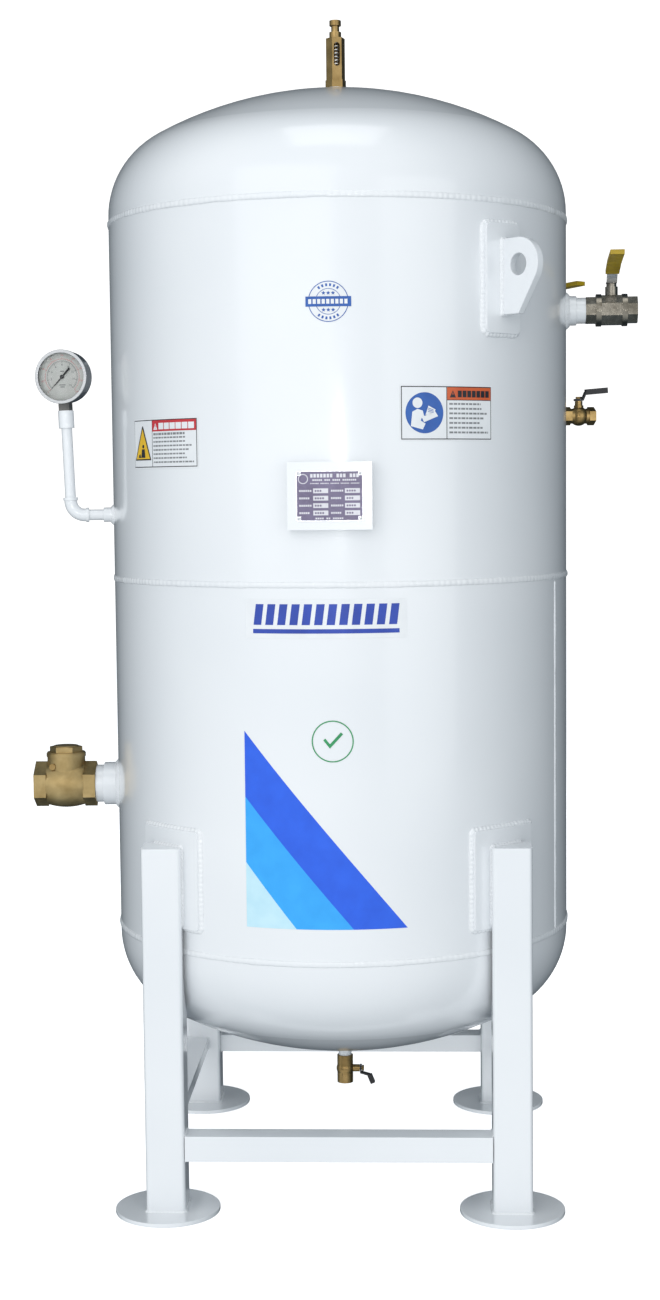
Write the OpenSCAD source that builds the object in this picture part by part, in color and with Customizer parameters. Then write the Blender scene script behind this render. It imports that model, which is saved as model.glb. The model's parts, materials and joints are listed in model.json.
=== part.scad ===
// Vertical air receiver tank: a welded pressure vessel on four box-section legs, with its
// lifting lugs, inlet check valve, outlet valves, drain valve, safety valve and pressure gauge.
// Frame: origin on the floor, on the vessel's axis. +Z is up and the front faces -Y.
// An azimuth is measured at the vessel's axis, from the front (-Y) towards +X.

/* [Vessel] */
// Outer diameter of the vessel
shell_d = 912; // [760:4:1100]
// Plate thickness of the shell and the heads
wall = 6; // [5:0.5:10]
// Height of each of the two shell courses
course_h = 698; // [580:1:850]
// Height of the bottom girth seam above the floor
bottom_seam_z = 503; // [450:1:620]
// Outer crown radius of the dished heads
crown_r = 760; // [700:5:1000]
// Outer knuckle radius of the dished heads
knuckle_r = 172; // [120:2:200]
// Straight flange of each dished head
flange_h = 15; // [10:1:50]
// Width of a weld bead on a shell seam
bead_w = 9; // [6:0.5:14]
// Height of a weld bead above the plate
bead_h = 2.2; // [1:0.1:4]
// Azimuth of the lower course's long seam
lower_seam_az = 68; // [60:1:72]
// Azimuth of the upper course's long seam
upper_seam_az = -112; // [-120:1:-100]

/* [Stand] */
// Azimuth of the front legs, one on each side of the front
leg_az = 43.6; // [40:0.2:50]
// Distance of a leg's centre outside the shell
leg_standoff = 21; // [15:1:35]
// Width of a leg's square tube
leg_w = 75; // [60:1:90]
// Wall of a leg's tube
leg_wall = 4; // [3:0.5:6]
// Corner radius of a leg's tube
leg_corner_r = 8; // [5:0.5:12]
// Height of a leg's top above the bottom girth seam
leg_rise = 202; // [170:1:225]
// Thickness of the plate under each leg's tube
foot_t = 8; // [5:1:15]
// Diameter of the round foot plate
foot_d = 200; // [150:5:260]
// Width of the curved pad behind each leg
pad_w = 154; // [110:2:200]
// Height of the curved pad behind each leg
pad_h = 188; // [150:2:220]
// Thickness of the curved pad behind each leg
pad_t = 8; // [5:1:12]
// Height of a pad's lower edge above the bottom girth seam
pad_rise = 46; // [30:1:80]
// Height of the top of the tie bars above the floor
bar_top_z = 155; // [100:1:180]
// Depth of the tie bars, from front to back or side to side
bar_w = 50; // [30:1:60]
// Height of the front tie bar
front_bar_h = 49; // [25:1:60]
// Height of the rear tie bar
rear_bar_h = 38; // [25:1:60]
// Height of the side tie bars
side_bar_h = 26; // [20:1:60]
// Wall of the tie bars' tubes
bar_wall = 3; // [2:0.5:4]

/* [Lifting lugs] */
// Azimuth of the front lug; the rear lug is opposite
lug_az = 43.4; // [35:0.2:55]
// Distance of the lugs' centre below the top girth seam
lug_drop = 142; // [120:1:200]
// Width of a lug's pad
lug_pad_w = 89; // [60:1:120]
// Height of a lug's pad
lug_pad_h = 201; // [180:1:230]
// Thickness of a lug's pad
lug_pad_t = 10; // [6:1:14]
// Thickness of a lug's plate
lug_t = 16; // [10:1:25]
// Height of a lug's plate below its centre line
lug_low = 67; // [55:1:85]
// Height of the eye above the lug's centre line
lug_eye_rise = 22; // [10:1:30]
// Distance of the eye outside the pad
lug_eye_out = 41; // [35:1:60]
// Radius of the eye
lug_eye_r = 20; // [12:0.5:24]
// Radius of the rounded nose round the eye
lug_nose_r = 49; // [40:1:60]

/* [Nameplate] */
// Width of the nameplate bracket
bracket_w = 153; // [120:1:180]
// Height of the nameplate bracket
bracket_h = 122; // [105:1:150]
// Distance of the bracket's face in front of the shell
bracket_out = 25; // [15:1:40]
// Sheet thickness of the bracket
bracket_t = 2; // [1.5:0.5:3]
// Height of the bracket's centre above the middle girth seam
bracket_rise = 161; // [120:1:200]
// Width of the nameplate
plate_w = 121; // [80:1:140]
// Height of the nameplate
plate_h = 91; // [60:1:110]
// Thickness of the nameplate
plate_t = 1; // [0.5:0.5:2]
// Radius of the rivet heads
rivet_r = 2.6; // [1.5:0.1:4]

/* [Gauge line] */
// Azimuth of the gauge branch
gauge_az = -82; // [-90:1:-70]
// Height of the gauge branch above the middle girth seam
gauge_rise = 126; // [80:1:200]
// Outer radius of the gauge branch's weld coupling
gauge_socket_r = 14.5; // [13:0.5:18]
// How far the gauge branch's coupling stands out of the shell
gauge_socket_out = 20; // [12:1:30]
// Outer radius of the gauge line's pipe
gauge_pipe_r = 10.65; // [8:0.05:12]
// Wall of the gauge line's pipe
gauge_pipe_wall = 2.6; // [2:0.1:3.5]
// Distance of the elbow's mouth outside the shell
gauge_reach = 57; // [45:1:80]
// Bend radius of the elbow's centre line
elbow_r = 28; // [24:1:36]
// Angle by which the riser leans outwards
riser_lean = 2; // [0:0.5:4]
// Length of riser that shows above the elbow
riser_len = 146; // [100:1:220]
// Outer radius of the socket under the gauge
top_socket_r = 15.5; // [14:0.5:20]
// Length of the socket under the gauge
top_socket_len = 35; // [28:1:45]
// Length of the gauge's shank between the socket and the case
shank_show = 14; // [8:1:25]
// Width across the flats of the gauge's square shank
shank_af = 22; // [17:1:24]

/* [Gauge] */
// Outer diameter of the gauge's bezel
bezel_d = 107; // [90:1:130]
// Width of the bezel's front ring
bezel_ring = 6.5; // [5:0.5:9]
// Depth of the gauge's case behind its shank
case_back = 20; // [16:1:30]
// Depth of the gauge's case in front of its shank
case_front = 21; // [20:1:26]
// Wall of the gauge's case
case_wall = 1.6; // [1:0.2:3]
// Angle by which the dial is turned outwards
gauge_turn = 17; // [0:1:30]
// Thickness of the gauge's glass
glass_t = 3; // [2:0.5:4]
// Length of the pointer from its axis to its tip
pointer_len = 38; // [25:1:40]

/* [Check valve] */
// Azimuth of the inlet
inlet_az = -88; // [-95:1:-80]
// Height of the inlet above the bottom girth seam
inlet_rise = 274; // [270:1:330]
// Outer radius of the inlet's weld coupling
inlet_socket_r = 43.7; // [42:0.1:48]
// How far the inlet's coupling stands out of the shell
inlet_socket_out = 31; // [20:1:45]
// Outer radius of the inlet's pipe nipple
inlet_pipe_r = 38.2; // [37:0.1:40]
// Length of nipple that shows between the coupling and the check valve
inlet_show = 16; // [8:1:30]
// Length of the check valve's body
check_len = 125; // [122:1:140]
// Length of the hexagon at each end of the check valve
check_hex_len = 25; // [20:1:26]
// Width across the corners of the end hexagons
check_hex_ac = 93; // [91:1:100]
// Largest radius of the body's barrel
check_barrel_r = 48; // [47:0.5:54]
// Radius of the body's neck
check_neck_r = 38.5; // [37:0.5:42]
// Height of the neck's rim above the valve's axis
check_neck_top = 66; // [62:1:75]
// Width across the flats of the cap's hexagon
check_cap_af = 58; // [50:1:62]
// Radius of the check valve's threaded end
inlet_thread_r = 36.3; // [35:0.1:37]
// Furthest swing of the check flapper
flapper_swing = 55; // [30:1:60]

/* [Outlet valves] */
// Azimuth of the main outlet
outlet_az = 88; // [80:1:92]
// Distance of the main outlet below the top girth seam
outlet_drop = 176; // [150:1:220]
// Azimuth of the rear outlet
rear_az = 138; // [130:1:160]
// Distance of the rear outlet below the top girth seam
rear_drop = 187; // [150:1:220]
// Outer radius of the outlets' weld couplings
outlet_socket_r = 29.1; // [27:0.1:34]
// How far the outlets' couplings stand out of the shell
outlet_socket_out = 20.5; // [14:0.5:30]
// Radius of the collar on the outlets' nipples
outlet_collar_r = 25.6; // [24:0.1:27]
// Length of the collar on the outlets' nipples
outlet_collar_len = 18.5; // [10:0.5:30]
// Outer radius of the outlets' nipples
outlet_pipe_r = 21.1; // [20.6:0.1:22]
// Length of an outlet valve
bar_len = 102; // [100:1:120]
// Width across the flats of an outlet valve's octagonal body
bar_body_af = 58; // [57:0.5:64]
// Length of an outlet valve's octagonal body
bar_body_len = 41; // [38:1:48]
// Width across the flats of an outlet valve's ends
bar_end_af = 51.5; // [50:0.5:56]
// Length of each end of an outlet valve
bar_end_len = 20; // [18:1:24]
// Radius of an outlet valve's two rings
bar_ring_r = 32; // [30:0.5:36]
// Radius of an outlet valve's threaded ends
bar_thread_r = 20; // [19:0.1:20.4]
// Length of an outlet valve's threads
bar_thread_len = 21; // [16:1:24]
// Radius of an outlet valve's ball
bar_ball_r = 24; // [22:0.5:25]
// Radius of the passage through an outlet valve
bar_port_r = 16; // [12:0.5:17]
// Radius of an outlet valve's stem
bar_stem_r = 5; // [4:0.5:6.5]
// Radius of the neck round an outlet valve's stem
bar_neck_r = 12.5; // [10:0.5:15]
// Height of that neck above the valve's axis
bar_neck_top = 52; // [46:1:60]
// Length of an outlet valve's lever from the stem
bar_lever_len = 190; // [150:1:220]
// Width of an outlet valve's lever strip
bar_lever_w = 21; // [16:1:24]
// Thickness of an outlet valve's lever strip
bar_lever_t = 3; // [2:0.5:4]
// Wall of the sleeve on an outlet valve's lever
bar_grip_wall = 3; // [2:0.5:4]

/* [Side and drain valves] */
// Azimuth of the side outlet
side_az = 105; // [98:1:112]
// Height of the side outlet above the middle girth seam
side_rise = 318; // [250:1:330]
// Outer radius of the small branches' weld couplings
small_socket_r = 17.5; // [16:0.5:20]
// How far the small branches' couplings stand out of the shell
small_socket_out = 12; // [8:1:20]
// Outer radius of the small branches' nipples
small_pipe_r = 13.4; // [13:0.05:13.6]
// Radius of the small valves' threaded ends
small_thread_r = 12.4; // [12:0.1:12.7]
// Length of the small valves' threads
small_thread_len = 15; // [12:1:17]
// Radius of the small valves' balls
small_ball_r = 12.5; // [11.5:0.5:13]
// Radius of the passage through a small valve
small_port_r = 8; // [6:0.5:8.5]
// Radius of the small valves' stems
small_stem_r = 3.5; // [3:0.5:4]
// Length of nipple that shows before the side valve
side_show = 9; // [6:1:20]
// Length of the side valve
side_len = 66; // [64:1:80]
// Width across the flats of the side valve's hexagonal ends
side_end_af = 33; // [32:0.5:38]
// Largest radius of the side valve's round body
side_body_r = 20; // [19:0.5:23]
// Length of the side valve's lever from the stem
side_lever_len = 62; // [45:1:90]
// Thickness of the sleeve on the side valve's lever
side_sleeve_t = 11.5; // [8:0.5:12]
// Length of nipple that shows above the drain valve
drain_show = 25; // [22:1:50]
// Length of the drain valve
drain_len = 57; // [56:1:70]
// Radius of the drain valve's ends
drain_end_r = 16.4; // [15.5:0.1:19]
// Length of the drain valve's lever from the stem
drain_lever_len = 31; // [24:1:45]
// Thickness of the sleeve on the drain valve's lever
drain_sleeve_t = 9.5; // [8:0.5:12]

/* [Safety valve] */
// Outer radius of the safety valve's weld coupling
safety_socket_r = 21; // [19:0.5:24]
// How far that coupling stands out of the head
safety_socket_out = 11; // [8:1:20]
// Width across the flats of the safety valve's base hexagon
safety_base_af = 36; // [35:0.5:41]
// Height of the base hexagon
safety_base_h = 15; // [10:1:20]
// Width across the flats of the safety valve's body
safety_body_af = 33; // [31:0.5:36]
// Height of the safety valve's body
safety_body_h = 82; // [75:1:100]
// Width of the windows in the safety valve's body
safety_window_w = 12; // [8:0.5:15]
// Angle by which the safety valve's body is turned
safety_turn = 12; // [0:1:59]
// Lift of the safety valve's spindle
safety_lift = 4; // [2:0.5:6]

/* [Clearances] */
// Gap between plates and curved faces that are welded together
weld_gap = 0.2; // [0.1:0.05:0.4]
// Radial clearance between a thread and what is screwed into it
thread_gap = 0.1; // [0.05:0.05:0.2]
// Radial running clearance of the stems, pins and spindles
run_gap = 0.1; // [0.05:0.01:0.1]
// Clearance between faces that pass each other
pass_gap = 0.4; // [0.3:0.1:0.6]

/* [Hidden] */

$fn = 64;
FINE = 360;
far = 2 * shell_d;

// Heights and radii of the vessel
shell_r = shell_d / 2;
mid_seam_z = bottom_seam_z + course_h;
top_seam_z = mid_seam_z + course_h;
head_depth = dish_depth(shell_r, crown_r, knuckle_r);
apex_z = top_seam_z + flange_h + head_depth;
nadir_z = bottom_seam_z - flange_h - head_depth;
bead_arc_r = (bead_w * bead_w / 4 + bead_h * bead_h) / (2 * bead_h);
nozzle_inset = 16;
fillet = 9;

// Stand
leg_x = (shell_r + leg_standoff) * sin(leg_az);
leg_y = (shell_r + leg_standoff) * cos(leg_az);
leg_top_z = bottom_seam_z + leg_rise;
leg_in_x = leg_x - leg_w / 2;
leg_in_y = leg_y - leg_w / 2;
leg_out_x = leg_x + leg_w / 2;
leg_out_y = leg_y + leg_w / 2;
cope_r = shell_r + pad_t + weld_gap;
leg_cap_t = 5;
pad_corner_r = 6;

// Branch heights
gauge_z = mid_seam_z + gauge_rise;
inlet_z = bottom_seam_z + inlet_rise;
outlet_z = top_seam_z - outlet_drop;
rear_z = top_seam_z - rear_drop;
side_z = mid_seam_z + side_rise;
lug_z = top_seam_z - lug_drop;
bracket_z = mid_seam_z + bracket_rise;

// Side branches: azimuth, height, coupling radius, bore radius, stand-out
BRANCHES = [
    [gauge_az, gauge_z, gauge_socket_r, gauge_pipe_r + thread_gap, gauge_socket_out],
    [inlet_az, inlet_z, inlet_socket_r, inlet_pipe_r + thread_gap, inlet_socket_out],
    [outlet_az, outlet_z, outlet_socket_r, outlet_pipe_r + thread_gap, outlet_socket_out],
    [rear_az, rear_z, outlet_socket_r, outlet_pipe_r + thread_gap, outlet_socket_out],
    [side_az, side_z, small_socket_r, small_pipe_r + thread_gap, small_socket_out]
];
safety_thread_r = small_thread_r;

// Gauge line
gauge_bore_r = gauge_pipe_r - gauge_pipe_wall;
elbow_turn = 90 - riser_lean;
elbow_wall_r = gauge_pipe_r + 2;
elbow_collar_r = gauge_pipe_r + 3.8;
elbow_collar_len = 6;
pipe_grip = 12;
case_r = bezel_d / 2 - 2;
shank_thread_r = 6.5;
gauge_centre = riser_len + top_socket_len + shank_show + bezel_d / 2 - 1;
inner_case_r = case_r - case_wall;
dial_r = inner_case_r - 0.5;
dial_t = 1;
dial_z = case_front - glass_t - 8;
pointer_shaft_r = 1.5;
pointer_t = 0.8;
bourdon_r = 30;
bourdon_tube_r = 3.5;
bourdon_back = 6;
holder_w = 14;

// Check valve, with its centre half way along the body
check_centre = shell_r + inlet_socket_out + inlet_show + check_len / 2;
check_port_r = 29;
check_chamber_r = 38;
check_bonnet_r = 30.5;
check_seat_z = 35;
check_seat_w = 4;
check_barrel_end_r = 42;
inlet_thread_len = check_hex_len - 3;
hinge_y = 38.5;
hinge_z = 24;
hinge_pin_r = 3;
flapper_r = 31;
flapper_t = 5;
hinge_head_r = 6.5;

// Outlet valves, with the ball's centre half way along the body
bar_centre = shell_r + outlet_socket_out + outlet_collar_len + bar_len / 2;
bar_ring_len = (bar_len - bar_body_len) / 2 - bar_end_len;
bar_hub_y = bar_neck_top + pass_gap;
bar_nut_af = 15;
bar_nut_h = 7;
// Centre line of the lever: [distance from the stem, height above the valve's axis]
BAR_LEVER = [
    [-11, bar_hub_y + bar_lever_t / 2],
    [13, bar_hub_y + bar_lever_t / 2],
    [30, bar_hub_y + 20],
    [90, bar_hub_y + 33],
    [bar_lever_len, bar_hub_y + 41]
];
bar_grip_from = 2;

// Small valves
side_centre = shell_r + small_socket_out + side_show + side_len / 2;
side_neck_r = 8;
side_neck_top = 31;
small_hub_t = 3;
drain_z = nadir_z - drain_show - drain_len / 2 - 12;
drain_neck_r = 7.5;
drain_neck_top = 30;
side_hub_y = side_neck_top + pass_gap;
SIDE_LEVER = [
    [-9, side_hub_y + 2], [8, side_hub_y + 2], [15, side_hub_y + 18], [side_lever_len, side_hub_y + 22]
];
drain_hub_y = drain_neck_top + pass_gap;
DRAIN_LEVER = [
    [-7, drain_hub_y + 2], [9, drain_hub_y + 2], [14, drain_hub_y + 20], [drain_lever_len, drain_hub_y + 27]
];

// Safety valve
safety_base_z = apex_z + safety_socket_out;
safety_body_z = safety_base_z + safety_base_h;
safety_top_z = safety_body_z + safety_body_h;
safety_bore_r = 12.5;
safety_seat_r = 8;
safety_seat_z = safety_body_z + 8;
safety_disc_r = 11.5;
safety_disc_h = 6;
safety_rod_r = 3;
safety_roof_t = 6;
safety_lock_r = 11.8;
safety_lock_h = 12;
safety_screw_r = 8;
safety_screw_h = 12;
safety_knob_r = 11.6;
safety_knob_h = 10.5;

function dish_depth(r, crown, knuckle) =
    crown - sqrt(pow(crown - knuckle, 2) - pow(r - knuckle, 2));
function unit(v) = v / norm(v);
function left_of(v) = [-v[1], v[0]];
// Sideways direction at point i of a path, as the mean of the two runs that meet there
function path_side(p, i) =
    let(a = i > 0 ? unit(p[i] - p[i - 1]) : unit(p[1] - p[0]),
        b = i < len(p) - 1 ? unit(p[i + 1] - p[i]) : a)
    unit(left_of(a) + left_of(b));
// Outline of a strip of thickness t along a path
function strip_outline(p, t) = concat(
    [for (i = [0:len(p) - 1]) p[i] + path_side(p, i) * t / 2],
    [for (i = [len(p) - 1:-1:0]) p[i] - path_side(p, i) * t / 2]
);
// A path without its first points
function path_from(p, n) = [for (i = [n:len(p) - 1]) p[i]];

// ---- Frames ----

// Local z points out from the vessel's axis, local y points up
module radial(az, z) {
    rotate([0, 0, az]) translate([0, 0, z]) rotate([90, 0, 0]) children();
}

// Local y runs up the gauge's riser, from the elbow's upper mouth
module riser_frame() {
    radial(gauge_az, gauge_z)
        translate([0, elbow_r * (1 - cos(elbow_turn)), shell_r + gauge_reach + elbow_r * sin(elbow_turn)])
            rotate([riser_lean, 0, 0]) children();
}

// Local z points out of the dial, local y up
module gauge_frame() {
    riser_frame() translate([0, gauge_centre, 0]) rotate([0, 90 - gauge_turn, 0]) children();
}

module check_frame() {
    radial(inlet_az, inlet_z) translate([0, 0, check_centre]) children();
}

module bar_frame(az, z) {
    radial(az, z) translate([0, 0, bar_centre]) children();
}

module side_frame() {
    radial(side_az, side_z) translate([0, 0, side_centre]) children();
}

// Local z points down the drain, local y points to the right-hand side
module drain_frame() {
    translate([0, 0, drain_z]) rotate([0, 0, 90]) rotate([180, 0, 0]) children();
}

// ---- Shared shapes ----

module along_y(r, from, to) {
    translate([0, from, 0]) rotate([-90, 0, 0]) cylinder(r = r, h = to - from);
}

// A prism with the given number of sides and width across its flats, along z
module prism(sides, across_flats, h, turn) {
    rotate([0, 0, turn]) cylinder(d = across_flats / cos(180 / sides), h = h, center = true, $fn = sides);
}

module ring(r_out, r_in, h) {
    difference() {
        cylinder(r = r_out, h = h);
        translate([0, 0, -1]) cylinder(r = r_in, h = h + 2);
    }
}

module rounded_rect(w, h, r) {
    square([w - 2 * r, h], center = true);
    square([w, h - 2 * r], center = true);
    for (x = [-1, 1], y = [-1, 1]) translate([x * (w / 2 - r), y * (h / 2 - r)]) circle(r = r);
}

module box_tube(w, h, len, t) {
    difference() {
        cube([len, w, h], center = true);
        cube([len + 2, w - 2 * t, h - 2 * t], center = true);
    }
}

// Half section of a dished head, with its seam on the x axis
module dish_section(r, crown, knuckle, below) {
    top = flange_h + dish_depth(r, crown, knuckle);
    centre_y = top - crown;
    lean = asin((r - knuckle) / (crown - knuckle));
    intersection() {
        translate([0, -below]) square([r, top + below + 1]);
        union() {
            translate([0, -below]) square([r, flange_h + below]);
            translate([r - knuckle, flange_h]) circle(r = knuckle, $fn = FINE);
            intersection() {
                translate([0, centre_y]) circle(r = crown, $fn = FINE);
                polygon([
                    [0, centre_y],
                    [2 * crown * sin(lean), centre_y + 2 * crown * cos(lean)],
                    [0, centre_y + 2 * crown]
                ]);
            }
        }
    }
}

module dish(grow, below) {
    rotate_extrude($fn = FINE) dish_section(shell_r + grow, crown_r + grow, knuckle_r + grow, below);
}

module head() {
    difference() {
        dish(0, 0);
        dish(-wall, 1);
    }
}

module at_bottom_seam() {
    translate([0, 0, bottom_seam_z]) mirror([0, 0, 1]) children();
}

module at_top_seam() {
    translate([0, 0, top_seam_z]) children();
}

// Everything inside a surface that lies outside the vessel by the given amount
module vessel_envelope(grow) {
    at_bottom_seam() dish(grow, 0);
    translate([0, 0, bottom_seam_z]) cylinder(r = shell_r + grow, h = 2 * course_h, $fn = FINE);
    at_top_seam() dish(grow, 0);
}

// A plate rolled to the shell
module shell_pad(az, z, w, h, t, corner) {
    intersection() {
        translate([0, 0, z - h]) difference() {
            cylinder(r = shell_r + t, h = 2 * h, $fn = FINE);
            translate([0, 0, -1]) cylinder(r = shell_r + weld_gap, h = 2 * h + 2, $fn = FINE);
        }
        radial(az, z) translate([0, 0, shell_r / 2]) linear_extrude(shell_r) rounded_rect(w, h, corner);
    }
}

// ---- Vessel ----

module branch_holes() {
    for (b = BRANCHES)
        radial(b[0], b[1]) translate([0, 0, shell_r / 2]) cylinder(r = b[2] + weld_gap, h = shell_r);
}

module course(z) {
    difference() {
        translate([0, 0, z]) cylinder(r = shell_r, h = course_h, $fn = FINE);
        translate([0, 0, z - 1]) cylinder(r = shell_r - wall, h = course_h + 2, $fn = FINE);
        branch_holes();
    }
}

module upper_shell() color("white") course(mid_seam_z);

module lower_shell() color("white") course(bottom_seam_z);

module top_head() {
    color("white") difference() {
        at_top_seam() head();
        translate([0, 0, apex_z - 40]) cylinder(r = safety_socket_r + weld_gap, h = 80);
    }
}

module bottom_head() {
    color("white") difference() {
        at_bottom_seam() head();
        translate([0, 0, nadir_z - 40]) cylinder(r = small_socket_r + weld_gap, h = 80);
    }
}

module girth_bead(z) {
    translate([0, 0, z]) rotate_extrude($fn = FINE) difference() {
        translate([shell_r + bead_h - bead_arc_r, 0]) circle(r = bead_arc_r);
        translate([0, -bead_w]) square([shell_r + weld_gap, 2 * bead_w]);
    }
}

module long_bead(az, z) {
    trim = bead_w / 2 + 1;
    difference() {
        rotate([0, 0, az]) translate([0, bead_arc_r - shell_r - bead_h, z + trim])
            cylinder(r = bead_arc_r, h = course_h - 2 * trim);
        translate([0, 0, z]) cylinder(r = shell_r + weld_gap, h = course_h, $fn = FINE);
    }
}

module seam_beads() {
    for (z = [bottom_seam_z, mid_seam_z, top_seam_z]) girth_bead(z);
    long_bead(lower_seam_az, bottom_seam_z);
    long_bead(upper_seam_az, mid_seam_z);
}

// A fillet weld round a coupling of radius r, before its toe is cut to the plate
module fillet_ring(r) {
    sink = 8;
    difference() {
        translate([0, 0, -sink]) cylinder(r1 = r + fillet + sink, r2 = r + weld_gap + 0.5, h = fillet + sink);
        translate([0, 0, -sink - 1]) cylinder(r = r + thread_gap, h = fillet + sink + 2);
    }
}

module nozzle_welds() {
    for (b = BRANCHES) difference() {
        radial(b[0], b[1]) translate([0, 0, shell_r]) fillet_ring(b[2]);
        translate([0, 0, b[1] - 100]) cylinder(r = shell_r + weld_gap, h = 200, $fn = FINE);
    }
    difference() {
        translate([0, 0, apex_z]) fillet_ring(safety_socket_r);
        translate([0, 0, apex_z - crown_r]) sphere(r = crown_r + weld_gap, $fn = FINE);
    }
    difference() {
        translate([0, 0, nadir_z]) mirror([0, 0, 1]) fillet_ring(small_socket_r);
        translate([0, 0, nadir_z + crown_r]) sphere(r = crown_r + weld_gap, $fn = FINE);
    }
}

module weld_beads() {
    color("white") {
        seam_beads();
        nozzle_welds();
    }
}

module weld_couplings() {
    color("white") {
        for (b = BRANCHES)
            radial(b[0], b[1]) translate([0, 0, shell_r - nozzle_inset])
                ring(b[2], b[3], nozzle_inset + b[4]);
        translate([0, 0, apex_z - nozzle_inset])
            ring(safety_socket_r, safety_thread_r + thread_gap, nozzle_inset + safety_socket_out);
        translate([0, 0, nadir_z - 12])
            ring(small_socket_r, small_pipe_r + thread_gap, nozzle_inset + 12);
    }
}

// ---- Stand ----

module leg(sx, sy) {
    color("white") difference() {
        translate([sx * leg_x, sy * leg_y, foot_t]) difference() {
            linear_extrude(leg_top_z - foot_t) rounded_rect(leg_w, leg_w, leg_corner_r);
            translate([0, 0, -1]) linear_extrude(leg_top_z - foot_t - leg_cap_t + 1)
                rounded_rect(leg_w - 2 * leg_wall, leg_w - 2 * leg_wall, leg_corner_r - leg_wall);
        }
        vessel_envelope(pad_t + weld_gap);
    }
}

module leg_front_left() leg(-1, -1);
module leg_front_right() leg(1, -1);
module leg_rear_left() leg(-1, 1);
module leg_rear_right() leg(1, 1);

module leg_pads() {
    color("white") for (az = [-leg_az, leg_az, 180 - leg_az, 180 + leg_az])
        shell_pad(az, bottom_seam_z + pad_rise + pad_h / 2, pad_w, pad_h, pad_t, pad_corner_r);
}

module foot_plates() {
    color("white") for (sx = [-1, 1], sy = [-1, 1])
        translate([sx * leg_x, sy * leg_y, 0]) cylinder(d = foot_d, h = foot_t);
}

module front_bar() {
    color("white") translate([0, bar_w / 2 - leg_out_y, bar_top_z - front_bar_h / 2])
        box_tube(bar_w, front_bar_h, 2 * leg_in_x, bar_wall);
}

module rear_bar() {
    color("white") translate([0, leg_out_y - bar_w / 2, bar_top_z - rear_bar_h / 2])
        box_tube(bar_w, rear_bar_h, 2 * leg_in_x, bar_wall);
}

module side_bars() {
    color("white") for (s = [-1, 1])
        translate([s * (leg_out_x - bar_w / 2), 0, bar_top_z - side_bar_h / 2])
            rotate([0, 0, 90]) box_tube(bar_w, side_bar_h, 2 * leg_in_y, bar_wall);
}

// ---- Lifting lugs ----

// Side view of a lug: x runs out from the vessel's axis, y up from the lug's centre line
module lug_outline() {
    root = shell_r;
    eye = [shell_r + lug_pad_t + lug_eye_out, lug_eye_rise];
    touch = acos(lug_nose_r / (lug_low + lug_eye_rise)) - 90;
    translate(eye) circle(r = lug_nose_r, $fn = FINE);
    polygon([
        [root, -lug_low],
        [eye[0], -lug_low],
        eye + lug_nose_r * [cos(touch), sin(touch)],
        eye,
        [eye[0], eye[1] + lug_nose_r],
        [root, eye[1] + lug_nose_r]
    ]);
}

module lifting_lugs() {
    color("white") for (az = [lug_az, lug_az + 180])
        difference() {
            radial(az, lug_z) rotate([0, -90, 0]) linear_extrude(lug_t, center = true) lug_outline();
            radial(az, lug_z) translate([0, lug_eye_rise, shell_r + lug_pad_t + lug_eye_out])
                rotate([0, 90, 0]) cylinder(r = lug_eye_r, h = 2 * lug_t, center = true);
            translate([0, 0, mid_seam_z])
                cylinder(r = shell_r + lug_pad_t + weld_gap, h = course_h, $fn = FINE);
        }
}

module lug_pads() {
    color("white") for (az = [lug_az, lug_az + 180])
        shell_pad(az, lug_z, lug_pad_w, lug_pad_h, lug_pad_t, 2 * pad_corner_r);
}

// ---- Nameplate ----

module nameplate_bracket() {
    depth = bracket_out + 30;
    color("white") difference() {
        translate([0, depth / 2 - shell_r - bracket_out, bracket_z])
            cube([bracket_w, depth, bracket_h], center = true);
        translate([0, depth / 2 - shell_r - bracket_out + bracket_t, bracket_z])
            cube([bracket_w - 2 * bracket_t, depth, bracket_h - 2 * bracket_t], center = true);
        cylinder(r = shell_r + weld_gap, h = far, $fn = FINE);
        rivet_shanks(rivet_r / 2 + thread_gap);
    }
}

module at_rivets() {
    inset = 5;
    for (sx = [-1, 1], sz = [-1, 1])
        translate([
            sx * (plate_w / 2 - inset), -shell_r - bracket_out - plate_t, bracket_z + sz * (plate_h / 2 - inset)
        ]) rotate([90, 0, 0]) children();
}

module rivet_shanks(r) {
    at_rivets() translate([0, 0, -plate_t - bracket_t - 2]) cylinder(r = r, h = plate_t + bracket_t + 2.1);
}

module nameplate() {
    color("silver") difference() {
        translate([0, -shell_r - bracket_out, bracket_z]) rotate([90, 0, 0]) linear_extrude(plate_t)
            rounded_rect(plate_w, plate_h, 4);
        rivet_shanks(rivet_r / 2 + thread_gap);
    }
}

module nameplate_rivets() {
    color("silver") {
        rivet_shanks(rivet_r / 2);
        at_rivets() intersection() {
            translate([0, 0, -rivet_r]) sphere(r = rivet_r * sqrt(2));
            cylinder(r = 2 * rivet_r, h = rivet_r);
        }
    }
}

// ---- Pipe nipples ----

module nipple(r_in, from, to, bore_r) {
    difference() {
        translate([0, 0, from]) cylinder(r = r_in, h = to - from);
        translate([0, 0, from - 1]) cylinder(r = bore_r, h = to - from + 2);
    }
}

// A nipple screwed into a coupling, with a thinner thread at the valve's end
module stepped_nipple(r, step_r, from, step, to, bore_r) {
    difference() {
        union() {
            translate([0, 0, from]) cylinder(r = r, h = step - from);
            translate([0, 0, from]) cylinder(r = step_r, h = to - from);
        }
        translate([0, 0, from - 1]) cylinder(r = bore_r, h = to - from + 2);
    }
}

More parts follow.
